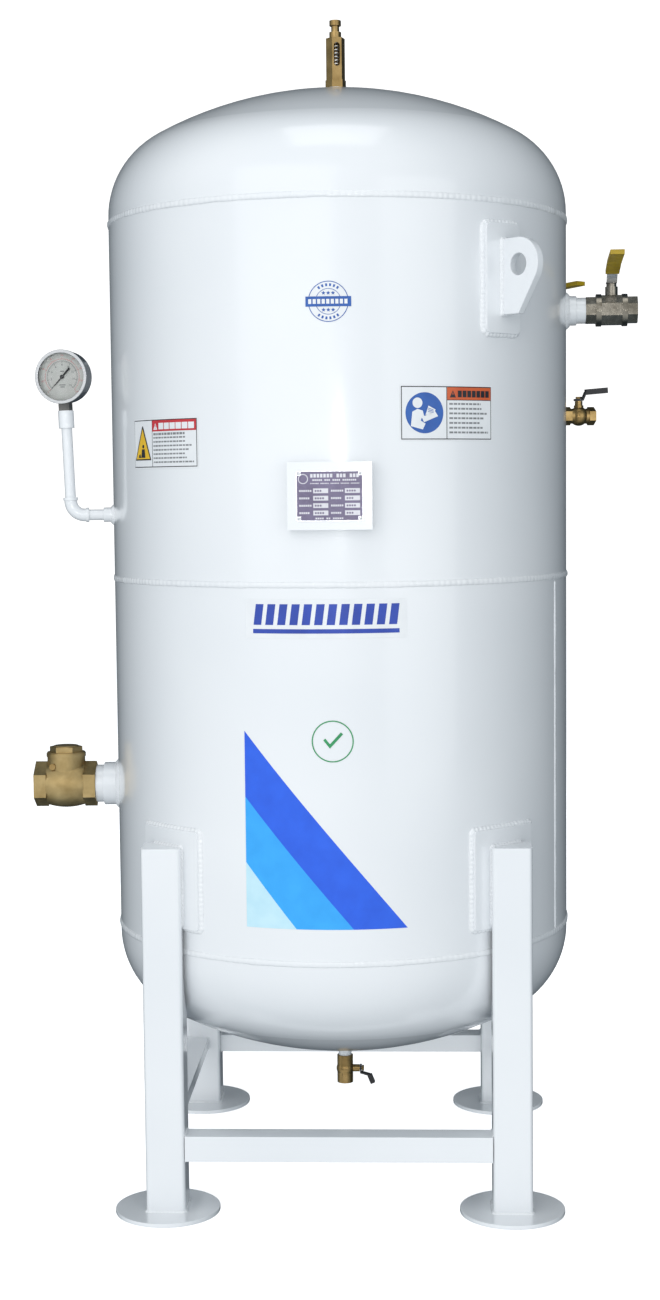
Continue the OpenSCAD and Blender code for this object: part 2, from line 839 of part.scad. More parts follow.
module outlet_nipple(az, z) {
    collar_z = shell_r + outlet_socket_out + pass_gap / 2;
    radial(az, z) difference() {
        union() {
            translate([0, 0, shell_r - 4]) cylinder(r = outlet_pipe_r, h = outlet_socket_out + 5);
            translate([0, 0, collar_z]) cylinder(r = outlet_collar_r, h = outlet_collar_len - pass_gap);
            translate([0, 0, collar_z])
                cylinder(r = bar_thread_r - thread_gap, h = outlet_collar_len + bar_thread_len - 3);
        }
        translate([0, 0, shell_r - 10]) cylinder(r = bar_port_r, h = far);
    }
}

module pipe_nipples() {
    color("white") {
        inlet_step = shell_r + inlet_socket_out + inlet_show - pass_gap;
        radial(inlet_az, inlet_z) stepped_nipple(
            inlet_pipe_r, inlet_thread_r - thread_gap, shell_r - 4, inlet_step,
            inlet_step + inlet_thread_len - 3, check_port_r
        );
        outlet_nipple(outlet_az, outlet_z);
        outlet_nipple(rear_az, rear_z);
        side_step = shell_r + small_socket_out + side_show - pass_gap;
        radial(side_az, side_z) stepped_nipple(
            small_pipe_r, small_thread_r - thread_gap, shell_r - 4, side_step,
            side_step + small_thread_len - 3, small_port_r
        );
        drain_top = drain_z + drain_len / 2;
        translate([0, 0, drain_top - small_thread_len + 3]) difference() {
            union() {
                cylinder(r = small_thread_r - thread_gap, h = small_thread_len + drain_show);
                translate([0, 0, small_thread_len - 3 + pass_gap])
                    cylinder(r = small_pipe_r, h = drain_show + 18);
            }
            translate([0, 0, -1]) cylinder(r = small_port_r, h = far);
        }
    }
}

// ---- Gauge line ----

module gauge_pipes() {
    color("white") {
        stub_end = gauge_reach + pipe_grip - elbow_collar_len - 2;
        radial(gauge_az, gauge_z) translate([0, 0, shell_r - 4])
            ring(gauge_pipe_r, gauge_bore_r, stub_end - pipe_grip + 4 + elbow_collar_len);
        riser_frame() rotate([-90, 0, 0]) translate([0, 0, pass_gap])
            ring(gauge_pipe_r, gauge_bore_r, riser_len + pipe_grip);
    }
}

module elbow_mouth(len) {
    cylinder(r = elbow_wall_r, h = len);
    translate([0, 0, len - elbow_collar_len]) cylinder(r = elbow_collar_r, h = elbow_collar_len);
}

module elbow_bend(r) {
    radial(gauge_az, gauge_z) translate([0, elbow_r, shell_r + gauge_reach]) rotate([0, -90, 0])
        rotate([0, 0, -90]) rotate_extrude(angle = elbow_turn) translate([elbow_r, 0]) circle(r = r);
}

module gauge_elbow() {
    mouth = 8;
    color("white") difference() {
        union() {
            elbow_bend(elbow_wall_r);
            radial(gauge_az, gauge_z) translate([0, 0, shell_r + gauge_reach]) mirror([0, 0, 1])
                elbow_mouth(mouth);
            riser_frame() rotate([-90, 0, 0]) elbow_mouth(mouth);
        }
        elbow_bend(gauge_bore_r);
        radial(gauge_az, gauge_z) translate([0, 0, shell_r + gauge_reach - mouth - 1])
            cylinder(r = gauge_pipe_r + thread_gap, h = mouth + 1);
        riser_frame() rotate([-90, 0, 0]) cylinder(r = gauge_pipe_r + thread_gap, h = mouth + 1);
    }
}

module gauge_socket() {
    color("white") riser_frame() translate([0, riser_len, 0]) rotate([-90, 0, 0]) difference() {
        cylinder(r = top_socket_r, h = top_socket_len);
        translate([0, 0, -1]) cylinder(r = gauge_pipe_r + thread_gap, h = pipe_grip + 2 + 1);
        translate([0, 0, -1]) cylinder(r = shank_thread_r + thread_gap, h = top_socket_len + 2);
    }
}

// ---- Gauge ----

// The square shank, up to the case's inner wall, and the block in the case that holds the Bourdon tube
module shank_block(grow) {
    top = shank_show + bezel_d / 2 - 1 - inner_case_r;
    riser_frame() translate([0, riser_len + top_socket_len + top / 2, 0]) rotate([0, 90 - gauge_turn, 0])
        cube([shank_af + 2 * grow, top, shank_af + 2 * grow], center = true);
    gauge_frame() translate([-holder_w / 2 - grow, -inner_case_r - 1, -bourdon_back - holder_w / 2 - grow])
        cube([holder_w + 2 * grow, inner_case_r + 3 - bourdon_r, holder_w + 2 * grow]);
}

module gauge_shank() {
    color("dimgray") difference() {
        union() {
            shank_block(0);
            riser_frame() translate([0, riser_len + pipe_grip + 4, 0]) rotate([-90, 0, 0])
                cylinder(r = shank_thread_r, h = top_socket_len - pipe_grip);
        }
        riser_frame() translate([0, riser_len, 0]) rotate([-90, 0, 0]) cylinder(r = 2.5, h = 60);
    }
}

module gauge_case() {
    color("silver") difference() {
        gauge_frame() difference() {
            translate([0, 0, -case_back]) cylinder(r = case_r, h = case_back + case_front - 4);
            translate([0, 0, case_wall - case_back]) cylinder(r = case_r - case_wall, h = far);
        }
        shank_block(weld_gap);
    }
}

module gauge_bezel() {
    rim = bezel_d / 2;
    color("gainsboro") gauge_frame() difference() {
        translate([0, 0, case_front - 9]) cylinder(r = rim, h = 9);
        translate([0, 0, case_front - 10]) cylinder(r = case_r + thread_gap, h = 6.0 + thread_gap);
        translate([0, 0, case_front - glass_t - 2])
            cylinder(r = case_r - case_wall, h = glass_t + thread_gap);
        translate([0, 0, case_front - 20]) cylinder(r = rim - bezel_ring, h = 40);
    }
}

module gauge_glass() {
    color("lightblue", 0.4) gauge_frame() translate([0, 0, case_front - glass_t - 2])
        cylinder(r = case_r - case_wall - thread_gap, h = glass_t);
}

module gauge_dial() {
    color("white") gauge_frame() translate([0, 0, dial_z - dial_t]) difference() {
        cylinder(r = dial_r, h = dial_t);
        translate([0, 0, -1]) cylinder(r = pointer_shaft_r + pass_gap, h = dial_t + 2);
    }
}

module bourdon_tube() {
    start = acos((holder_w / 2 + weld_gap) / (bourdon_r - bourdon_tube_r));
    color("goldenrod") gauge_frame() translate([0, 0, -bourdon_back]) rotate([0, 0, -start])
        rotate_extrude(angle = 250) translate([bourdon_r, 0]) circle(r = bourdon_tube_r);
}

// The pointer rests on zero, low on the left, and turns clockwise
module gauge_pointer() {
    tail = 23;
    color("black") gauge_frame() {
        translate([0, 0, dial_z + 1.2]) rotate([0, 0, 225]) linear_extrude(pointer_t)
            polygon([[pointer_len, 0], [0, 1.3], [-tail, 2.2], [-tail, -2.2], [0, -1.3]]);
        translate([0, 0, dial_z + 0.8]) cylinder(r = 4, h = 2.2);
        translate([0, 0, -2]) cylinder(r = pointer_shaft_r, h = dial_z + 3);
    }
}

// ---- Check valve ----

module check_barrel() {
    half = check_len / 2 - check_hex_len;
    sag = check_barrel_r - check_barrel_end_r;
    arc_r = (half * half + sag * sag) / (2 * sag);
    rotate_extrude($fn = 128) intersection() {
        translate([check_barrel_r - arc_r, 0]) circle(r = arc_r, $fn = FINE);
        translate([0, -half - 1]) square([check_barrel_r + 1, 2 * half + 2]);
    }
}

module hinge_hole(r, from, to) {
    translate([from, hinge_y, hinge_z]) rotate([0, 90, 0]) cylinder(r = r, h = to - from);
}

module check_valve_body() {
    end = check_len / 2;
    rim_h = 9;
    color("goldenrod") check_frame() difference() {
        union() {
            check_barrel();
            for (s = [-1, 1]) translate([0, 0, s * (end - check_hex_len / 2)])
                prism(6, check_hex_ac * cos(30), check_hex_len, 90);
            along_y(check_neck_r, 0, check_neck_top);
            along_y(check_neck_r + 1.5, check_neck_top - rim_h, check_neck_top - 2);
        }
        cylinder(r = check_port_r, h = 2 * check_len, center = true);
        for (s = [-1, 1]) translate([0, 0, s * end])
            cylinder(r = inlet_thread_r, h = 2 * inlet_thread_len, center = true);
        translate([0, 0, check_seat_z - check_len / 2 - 2])
            cylinder(r = check_chamber_r, h = check_len / 2 + 2 - check_seat_w / 2);
        along_y(check_bonnet_r, 0, check_neck_top + 1);
        hinge_hole(hinge_pin_r + thread_gap, -check_neck_r + 14, check_neck_r + 4);
        hinge_hole(hinge_head_r + thread_gap, check_neck_r - 8.5 - thread_gap, check_neck_r + 4);
    }
}

module check_valve_cap() {
    cap_h = 11;
    plug = 12;
    color("goldenrod") check_frame() {
        difference() {
            union() {
                translate([0, check_neck_top + pass_gap / 2 + cap_h / 2, 0]) rotate([90, 0, 0])
                    prism(6, check_cap_af, cap_h, 30);
                along_y(check_bonnet_r - thread_gap, check_neck_top - plug, check_neck_top + 1);
                along_y(check_cap_af / 2 - 4, check_neck_top + cap_h - 1, check_neck_top + cap_h + 2);
            }
            along_y(check_bonnet_r - 6, check_neck_top - plug - 1, check_neck_top - 1);
        }
    }
}

module check_hinge_pin() {
    color("goldenrod") check_frame() {
        hinge_hole(hinge_pin_r, -check_neck_r + 15, check_neck_r - 6);
        hinge_hole(hinge_head_r, check_neck_r - 8.5, check_neck_r - 3);
    }
}

module check_flapper() {
    color("goldenrod") check_frame() difference() {
        union() {
            translate([0, 0, check_seat_z - check_seat_w / 2 - pass_gap - flapper_t])
                cylinder(r = flapper_r, h = flapper_t);
            hinge_hole(hinge_pin_r + 2, -8, 8);
            translate([-7, 0, hinge_z - 3]) cube([14, hinge_y, 7]);
            translate([0, 0, hinge_z - 6]) cylinder(r = 8, h = 8);
        }
        hinge_hole(hinge_pin_r + run_gap, -20, 20);
    }
}

// ---- Ball valves: the passage runs along z, the stem along y ----

function seat_r(ball_r) = 0.87 * ball_r;
function seat_z(ball_r) = 0.85 * ball_r;

module valve_cavity(len, thread_r, thread_len, port_r, ball_r, stem_r, neck_top) {
    cylinder(r = port_r, h = 2 * len, center = true);
    for (s = [-1, 1]) translate([0, 0, s * len / 2]) cylinder(r = thread_r, h = 2 * thread_len, center = true);
    sphere(r = ball_r + pass_gap);
    cylinder(r = seat_r(ball_r) + thread_gap, h = 2 * seat_z(ball_r) + 2 * thread_gap, center = true);
    along_y(stem_r + run_gap, 0, neck_top + 1);
}

module valve_ball(ball_r, port_r, stem_r) {
    difference() {
        sphere(r = ball_r);
        cylinder(r = port_r, h = 4 * ball_r, center = true);
        translate([0, ball_r, 0]) cube([2 * stem_r + weld_gap, 2 * tang_h(ball_r) + weld_gap, stem_r + weld_gap],
            center = true);
    }
}

function tang_h(ball_r) = ball_r / 7;

module valve_stem(ball_r, stem_r, top) {
    along_y(stem_r, ball_r + pass_gap, top);
    intersection() {
        translate([0, ball_r, 0]) cube([2 * stem_r, 2 * tang_h(ball_r), stem_r], center = true);
        along_y(stem_r, 0, top);
    }
    translate([0, ball_r + pass_gap, 0]) cube([1.4 * stem_r, 2 * pass_gap + 1, stem_r], center = true);
}

module valve_seat_pair(ball_r, port_r) {
    for (s = [-1, 1]) scale([1, 1, 1]) difference() {
        translate([0, 0, s > 0 ? ball_r / 4 : -seat_z(ball_r)])
            cylinder(r = seat_r(ball_r), h = seat_z(ball_r) - ball_r / 4);
        cylinder(r = port_r + pass_gap, h = 4 * ball_r, center = true);
        sphere(r = ball_r + pass_gap);
    }
}

// A lever strip that runs out along x, with a hole for the stem at its hub
module lever_strip(path, w, t, stem_r) {
    difference() {
        linear_extrude(w, center = true) polygon(strip_outline(path, t));
        along_y(stem_r + thread_gap, 0, 200);
    }
}

// ---- Outlet valves ----

module bar_body() {
    color("silver") difference() {
        union() {
            prism(8, bar_body_af, bar_body_len, 22.5);
            for (s = [-1, 1]) {
                translate([0, 0, s * (bar_len - bar_end_len) / 2]) prism(8, bar_end_af, bar_end_len, 22.5);
                translate([0, 0, s * (bar_body_len + bar_ring_len) / 2])
                    cylinder(r = bar_ring_r, h = bar_ring_len, center = true);
            }
            along_y(bar_neck_r, 0, bar_neck_top - 6);
            along_y(bar_neck_r - 2.5, 0, bar_neck_top);
        }
        valve_cavity(bar_len, bar_thread_r, bar_thread_len, bar_port_r, bar_ball_r, bar_stem_r, bar_neck_top);
    }
}

module bar_ball() {
    color("gainsboro") rotate([0, 90, 0]) valve_ball(bar_ball_r, bar_port_r, bar_stem_r);
}

module bar_stem() {
    color("silver") rotate([0, 90, 0])
        valve_stem(bar_ball_r, bar_stem_r, bar_hub_y + bar_lever_t + bar_nut_h + 1.5);
}

module bar_lever() {
    color("silver") rotate([0, 180, 0]) lever_strip(BAR_LEVER, bar_lever_w, bar_lever_t, bar_stem_r);
}

module bar_grip() {
    grip_path = path_from(BAR_LEVER, bar_grip_from);
    tip = BAR_LEVER[len(BAR_LEVER) - 1];
    wall_gap = 0.1;
    color("gold") rotate([0, 180, 0]) difference() {
        linear_extrude(bar_lever_w + 2 * bar_grip_wall, center = true)
            polygon(strip_outline(concat(grip_path, [tip + [bar_grip_wall + 1, 0]]),
                bar_lever_t + 2 * bar_grip_wall));
        linear_extrude(bar_lever_w + 2 * wall_gap, center = true)
            polygon(strip_outline(BAR_LEVER, bar_lever_t + 2 * wall_gap));
    }
}

module bar_nut() {
    color("silver") translate([0, bar_hub_y + bar_lever_t + bar_nut_h / 2, 0]) rotate([90, 0, 0])
        difference() {
            prism(6, bar_nut_af, bar_nut_h, 0);
            cylinder(r = bar_stem_r + thread_gap, h = 2 * bar_nut_h, center = true);
        }
}

module outlet_valve_body() bar_frame(outlet_az, outlet_z) bar_body();
module outlet_ball() bar_frame(outlet_az, outlet_z) bar_ball();
module outlet_stem() bar_frame(outlet_az, outlet_z) bar_stem();
module outlet_lever() bar_frame(outlet_az, outlet_z) bar_lever();
module outlet_grip() bar_frame(outlet_az, outlet_z) bar_grip();
module outlet_nut() bar_frame(outlet_az, outlet_z) bar_nut();
module rear_valve_body() bar_frame(rear_az, rear_z) bar_body();
module rear_ball() bar_frame(rear_az, rear_z) bar_ball();
module rear_stem() bar_frame(rear_az, rear_z) bar_stem();
module rear_lever() bar_frame(rear_az, rear_z) bar_lever();
module rear_grip() bar_frame(rear_az, rear_z) bar_grip();
module rear_nut() bar_frame(rear_az, rear_z) bar_nut();

// ---- Side valve ----

module side_valve_body() {
    hex_len = 14;
    color("goldenrod") side_frame() difference() {
        union() {
            for (s = [-1, 1]) translate([0, 0, s * (side_len - hex_len) / 2]) prism(6, side_end_af, hex_len, 90);
            cylinder(r = side_end_af / 2 - 1, h = side_len - hex_len, center = true);
            sphere(r = side_body_r);
            along_y(side_neck_r + 2, 0, side_neck_top - 9);
            along_y(side_neck_r, 0, side_neck_top);
        }
        valve_cavity(side_len, small_thread_r, small_thread_len, small_port_r, small_ball_r,
            small_stem_r, side_neck_top);
    }
}

module side_ball() color("gainsboro") side_frame() valve_ball(small_ball_r, small_port_r, small_stem_r);

module side_stem() {
    color("goldenrod") side_frame() {
        valve_stem(small_ball_r, small_stem_r, side_hub_y + small_hub_t + 5);
        translate([0, side_hub_y + 6.5, 0]) rotate([90, 0, 0]) prism(6, 11, 4, 0);
    }
}

module small_lever(path, tube) {
    t = 4;
    w = 13;
    difference() {
        union() {
            linear_extrude(w, center = true) polygon(strip_outline(path, t));
            linear_extrude(w, center = true) polygon(strip_outline(path_from(path, 2), tube));
        }
        along_y(small_stem_r + thread_gap, 0, path[0][1] + t);
    }
}

module side_lever() color("black") side_frame() rotate([0, -90, 0]) small_lever(SIDE_LEVER, side_sleeve_t);

// ---- Drain valve ----

module drain_valve_body() {
    color("goldenrod") drain_frame() difference() {
        union() {
            cylinder(r = drain_end_r, h = drain_len, center = true);
            sphere(r = drain_end_r + 1.6);
            along_y(drain_neck_r, 0, drain_neck_top);
        }
        valve_cavity(drain_len, small_thread_r, small_thread_len, small_port_r, small_ball_r,
            small_stem_r, drain_neck_top);
    }
}

module drain_ball() color("gainsboro") drain_frame() valve_ball(small_ball_r, small_port_r, small_stem_r);

module drain_stem() {
    color("goldenrod") drain_frame() {
        valve_stem(small_ball_r, small_stem_r, drain_hub_y + small_hub_t + 5);
        translate([0, drain_hub_y + 6.5, 0]) rotate([90, 0, 0]) prism(6, 11, 4, 0);
    }
}

module drain_lever() color("black") drain_frame() rotate([0, -90, 0]) small_lever(DRAIN_LEVER, drain_sleeve_t);

module valve_seats() {
    color("white") {
        bar_frame(outlet_az, outlet_z) valve_seat_pair(bar_ball_r, bar_port_r);
        bar_frame(rear_az, rear_z) valve_seat_pair(bar_ball_r, bar_port_r);
        side_frame() valve_seat_pair(small_ball_r, small_port_r);
        drain_frame() valve_seat_pair(small_ball_r, small_port_r);
    }
}

// ---- Safety valve ----

module safety_valve_body() {
    window_z = safety_seat_z + safety_disc_h + 12;
    window_h = safety_top_z - safety_roof_t - 4 - window_z;
    color("goldenrod") difference() {
        union() {
            translate([0, 0, safety_base_z - nozzle_inset])
                cylinder(r = safety_thread_r, h = nozzle_inset + 1);
            translate([0, 0, safety_base_z + safety_base_h / 2]) prism(6, safety_base_af, safety_base_h, safety_turn);
            translate([0, 0, safety_body_z + safety_body_h / 2]) prism(6, safety_body_af, safety_body_h, safety_turn);
            translate([0, 0, safety_top_z]) cylinder(r = safety_lock_r, h = safety_lock_h);
        }
        translate([0, 0, safety_base_z - nozzle_inset - 1]) cylinder(r = safety_seat_r, h = far);
        translate([0, 0, safety_top_z - safety_roof_t - 1])
            cylinder(r = safety_screw_r + thread_gap, h = far);
        translate([0, 0, safety_seat_z])
            cylinder(r = safety_bore_r, h = safety_top_z - safety_roof_t - safety_seat_z);
        rotate([0, 0, safety_turn]) {
            translate([0, 0, window_z + window_h / 2])
                cube([safety_window_w, 3 * safety_body_af, window_h - safety_window_w], center = true);
            for (end = [window_z + safety_window_w / 2, window_z + window_h - safety_window_w / 2])
                translate([0, 0, end]) rotate([90, 0, 0])
                    cylinder(d = safety_window_w, h = 3 * safety_body_af, center = true);
        }
    }
}

module safety_screw() {
    color("goldenrod") translate([0, 0, safety_top_z - safety_roof_t])
        ring(safety_screw_r, safety_rod_r + run_gap, safety_roof_t + safety_lock_h + safety_screw_h);
}

module safety_spring() {
    foot = safety_seat_z + pass_gap + safety_disc_h + pass_gap;
    color("gainsboro") translate([0, 0, foot])
        ring(safety_bore_r - 1.5, safety_rod_r + 3.5, safety_top_z - safety_roof_t - pass_gap - foot);
}

module safety_spindle() {
    top = safety_top_z + safety_lock_h + safety_screw_h;
    color("silver") {
        translate([0, 0, safety_seat_z + pass_gap]) cylinder(r = safety_disc_r, h = safety_disc_h);
        translate([0, 0, safety_seat_z + pass_gap]) cylinder(r = safety_rod_r, h = top + 2 - safety_seat_z);
        translate([0, 0, top + pass_gap]) cylinder(r = safety_knob_r, h = safety_knob_h);
    }
}

upper_shell();
lower_shell();
top_head();
bottom_head();
weld_beads();
leg_front_left();
leg_front_right();
leg_rear_left();
leg_rear_right();
leg_pads();
foot_plates();
front_bar();
rear_bar();
side_bars();
lifting_lugs();
lug_pads();
nameplate_bracket();
nameplate();
nameplate_rivets();
weld_couplings();
pipe_nipples();
gauge_pipes();
gauge_elbow();
gauge_socket();
gauge_shank();
gauge_case();
gauge_bezel();
gauge_glass();
gauge_dial();
bourdon_tube();
gauge_pointer();
check_valve_body();
check_valve_cap();
check_hinge_pin();
check_flapper();
outlet_valve_body();
outlet_ball();
outlet_stem();
outlet_lever();
outlet_grip();
outlet_nut();
rear_valve_body();
rear_ball();
rear_stem();
rear_lever();
rear_grip();
rear_nut();
side_valve_body();
side_ball();
side_stem();
side_lever();
drain_valve_body();
drain_ball();
drain_stem();
drain_lever();
valve_seats();
safety_valve_body();
safety_screw();
safety_spring();
safety_spindle();
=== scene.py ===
import itertools
import json
import math

import bmesh
import bpy
from mathutils import Matrix, Vector, noise


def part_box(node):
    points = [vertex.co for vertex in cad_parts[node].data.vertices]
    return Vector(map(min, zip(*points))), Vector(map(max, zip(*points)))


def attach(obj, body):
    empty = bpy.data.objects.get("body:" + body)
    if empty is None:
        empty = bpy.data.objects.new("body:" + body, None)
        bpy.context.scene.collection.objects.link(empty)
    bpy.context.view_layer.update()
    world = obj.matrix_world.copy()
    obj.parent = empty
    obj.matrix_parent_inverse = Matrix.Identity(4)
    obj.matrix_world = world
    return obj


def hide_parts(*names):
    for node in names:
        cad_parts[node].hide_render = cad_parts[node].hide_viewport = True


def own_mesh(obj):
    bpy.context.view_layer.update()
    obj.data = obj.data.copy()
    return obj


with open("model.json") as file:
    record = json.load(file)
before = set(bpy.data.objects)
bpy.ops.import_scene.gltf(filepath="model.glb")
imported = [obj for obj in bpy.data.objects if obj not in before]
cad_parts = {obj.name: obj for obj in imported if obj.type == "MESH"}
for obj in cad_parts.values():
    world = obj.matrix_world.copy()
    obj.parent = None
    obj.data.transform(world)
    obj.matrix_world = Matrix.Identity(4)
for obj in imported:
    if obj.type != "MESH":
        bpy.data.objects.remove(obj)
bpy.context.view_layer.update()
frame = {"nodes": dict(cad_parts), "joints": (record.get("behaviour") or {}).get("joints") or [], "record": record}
nodes = frame["nodes"]
joints = {j["name"]: j for j in frame["joints"]}
ROOT = "receiver"
MM = 0.001
TAU = 2 * math.pi

# azimuths in degrees, 0 at the front and 90 at the right
LOWER_SEAM_AZ = 68
UPPER_SEAM_AZ = -112
LUG_AZ = 43.4
GAUGE_AZ = -82.0
# radii of the weld couplings in mm
LARGE_COUPLING_R = 29.1
SMALL_COUPLING_R = 17.5
INLET_COUPLING_R = 43.7
GAUGE_COUPLING_R = 14.5
APEX_COUPLING_R = 21
# the corners of a rectangle: signs along its two axes, and the angle at which the corner's arc starts
CORNERS = ((1, 1, 0), (-1, 1, 90), (-1, -1, 180), (1, -1, 270))


# ---- Camera, floor and light ----

def make_camera():
    place = Vector((0.15494, -4.12166, 1.37839))
    heading, pitch, roll = (math.radians(d) for d in (2.47, 4.60, -0.58))
    level = math.cos(pitch)
    forward = Vector((-math.sin(heading) * level, math.cos(heading) * level, -math.sin(pitch)))
    right = forward.cross(Vector((0, 0, 1))).normalized()
    up = right.cross(forward)
    side = right * math.cos(roll) + up * math.sin(roll)
    top = up * math.cos(roll) - right * math.sin(roll)
    data = bpy.data.cameras.new("camera")
    data.sensor_fit = "VERTICAL"
    data.sensor_height = 36
    data.lens = 56.2
    data.clip_end = 100
    camera = bpy.data.objects.new("camera", data)
    camera.matrix_world = Matrix.Translation(place) @ Matrix((side, top, -forward)).transposed().to_4x4()
    bpy.context.scene.collection.objects.link(camera)
    bpy.context.scene.camera = camera


def area_light(name, place, target, size, power):
    data = bpy.data.lights.new(name, "AREA")
    data.shape = "RECTANGLE"
    data.size, data.size_y = size
    data.energy = power
    light = bpy.data.objects.new(name, data)
    light.location = place
    light.rotation_euler = (Vector(target) - Vector(place)).to_track_quat("-Z", "Y").to_euler()
    bpy.context.scene.collection.objects.link(light)
    return light


def make_lights():
    area_light("key", (-2.2, -5.2, 3.0), (0, 0, 1.2), (5.0, 4.4), 62)
    area_light("fill", (3.6, -4.2, 1.8), (0, 0, 1.0), (3.6, 3.6), 34)
    # a small lamp beside the camera, for the bright streak down the middle of the shell
    area_light("flash", (0.16, -4.10, 1.46), (0, 0, 1.25), (0.26, 0.26), 7)
    area_light("overhead", (0.0, -1.4, 6.0), (0, 0, 1.0), (2.4, 2.4), 30)
    area_light("rear", (1.2, 5.0, 3.6), (0, 0, 1.2), (3.4, 2.4), 90).visible_glossy = False


class Nodes:
    """A small helper that wires a node tree."""

    def __init__(self, tree):
        self.tree = tree
        tree.nodes.clear()

    def add(self, kind, **values):
        node = self.tree.nodes.new(kind)
        for key, value in values.items():
            if hasattr(node, key):
                setattr(node, key, value)
            else:
                node.inputs[key.replace("_", " ")].default_value = value
        return node

    def link(self, out, into):
        self.tree.links.new(out, into)


def make_world():
    world = bpy.data.worlds.new("studio")
    bpy.context.scene.world = world
    world.use_nodes = True
    n = Nodes(world.node_tree)
    coord = n.add("ShaderNodeTexCoord")
    split = n.add("ShaderNodeSeparateXYZ")
    n.link(coord.outputs["Generated"], split.inputs[0])
    # brightest in front of the object and a little to its left, dim and bluish at its sides and behind it
    facing = n.add("ShaderNodeVectorMath", operation="DOT_PRODUCT")
    facing.inputs[1].default_value = (-0.27, -0.95, 0.14)
    n.link(coord.outputs["Generated"], facing.inputs[0])
    front = n.add("ShaderNodeMapRange")
    front.inputs["From Min"].default_value = -1.0
    front.inputs["From Max"].default_value = 1.0
    n.link(facing.outputs["Value"], front.inputs["Value"])
    ramp = n.add("ShaderNodeValToRGB")
    e = ramp.color_ramp.elements
    e[0].position, e[0].color = 0.0, (0.060, 0.075, 0.09, 1)
    e[1].position, e[1].color = 1.0, (0.91, 0.935, 0.96, 1)
    for place, tone in ((0.30, (0.045, 0.066, 0.082)), (0.40, (0.10, 0.131, 0.158)),
                        (0.54, (0.272, 0.322, 0.362)), (0.66, (0.63, 0.688, 0.727)),
                        (0.80, (0.865, 0.907, 0.935))):
        e.new(place).color = (*tone, 1)
    n.link(front.outputs[0], ramp.inputs[0])
    sky = n.add("ShaderNodeMapRange")
    sky.inputs["From Min"].default_value = -1.0
    sky.inputs["From Max"].default_value = 1.0
    sky.inputs["To Min"].default_value = 1.25
    sky.inputs["To Max"].default_value = 1.08
    n.link(split.outputs["Z"], sky.inputs["Value"])
    back = n.add("ShaderNodeBackground")
    n.link(ramp.outputs[0], back.inputs["Color"])
    n.link(sky.outputs[0], back.inputs["Strength"])
    out = n.add("ShaderNodeOutputWorld")
    n.link(back.outputs[0], out.inputs[0])


def camera_only(obj):
    """Hides an object from every ray but the camera's, so that it lights nothing."""
    for ray in ("visible_diffuse", "visible_glossy", "visible_transmission", "visible_shadow",
                "visible_volume_scatter"):
        setattr(obj, ray, False)


def make_stage():
    """A pale floor that runs into a white backdrop."""
    room_r = 14
    floor_mat = bpy.data.materials.new("floor_white")
    floor_mat.use_nodes = True
    n = Nodes(floor_mat.node_tree)
    coord = n.add("ShaderNodeTexCoord")
    speck = n.add("ShaderNodeTexNoise", Scale=2.0, Detail=3.0)
    n.link(coord.outputs["Object"], speck.inputs["Vector"])
    ramp = n.add("ShaderNodeValToRGB")
    ramp.color_ramp.elements[0].color = (0.88, 0.89, 0.90, 1)
    ramp.color_ramp.elements[1].color = (0.93, 0.93, 0.94, 1)
    n.link(speck.outputs["Fac"], ramp.inputs[0])
    shader = n.add("ShaderNodeBsdfPrincipled", Roughness=0.85)
    shader.inputs["Specular IOR Level"].default_value = 0.1
    shader.inputs["Emission Color"].default_value = (1, 1, 1, 1)
    shader.inputs["Emission Strength"].default_value = 0.95
    n.link(ramp.outputs[0], shader.inputs["Base Color"])
    out = n.add("ShaderNodeOutputMaterial")
    n.link(shader.outputs[0], out.inputs[0])
    bm = bmesh.new()
    bmesh.ops.create_circle(bm, cap_ends=True, segments=96, radius=room_r - 0.1)
    floor = mesh_object("studio_floor", bm, floor_mat)
    floor.location.z = -0.0005
    glow = bpy.data.materials.new("backdrop_white")
    glow.use_nodes = True
    n = Nodes(glow.node_tree)
    light = n.add("ShaderNodeEmission")
    light.inputs["Color"].default_value = (1, 1, 1, 1)
    light.inputs["Strength"].default_value = 1.4
    out = n.add("ShaderNodeOutputMaterial")
    n.link(light.outputs[0], out.inputs[0])
    bm = bmesh.new()
    bmesh.ops.create_uvsphere(bm, u_segments=64, v_segments=32, radius=room_r)
    dome = mesh_object("studio_backdrop", bm, glow)
    camera_only(floor)
    camera_only(dome)


# ---- Materials ----

def principled(name):
    mat = bpy.data.materials.new(name)
    mat.use_nodes = True
    n = Nodes(mat.node_tree)
    shader = n.add("ShaderNodeBsdfPrincipled")
    out = n.add("ShaderNodeOutputMaterial")
    n.link(shader.outputs[0], out.inputs["Surface"])
    coord = n.add("ShaderNodeTexCoord")
    return mat, n, shader, coord.outputs["Object"]


def mottled(n, coord, scale, dark, light, low=0.3, high=0.7, detail=3.0):
    """A colour that varies between two tones."""
    cloud = n.add("ShaderNodeTexNoise", Scale=scale, Detail=detail)
    n.link(coord, cloud.inputs["Vector"])
    ramp = n.add("ShaderNodeValToRGB")
    e = ramp.color_ramp.elements
    e[0].position, e[0].color = low, (*dark, 1)
    e[1].position, e[1].color = high, (*light, 1)
    n.link(cloud.outputs["Fac"], ramp.inputs[0])
    return ramp.outputs[0]


def varied(n, coord, scale, low, high, detail=2.0):
    """A number that varies between two values."""
    cloud = n.add("ShaderNodeTexNoise", Scale=scale, Detail=detail)
    n.link(coord, cloud.inputs["Vector"])
    span = n.add("ShaderNodeMapRange")
    span.inputs["From Min"].default_value = 0.3
    span.inputs["From Max"].default_value = 0.7
    span.inputs["To Min"].default_value = low
    span.inputs["To Max"].default_value = high
    n.link(cloud.outputs["Fac"], span.inputs["Value"])
    return span.outputs[0]


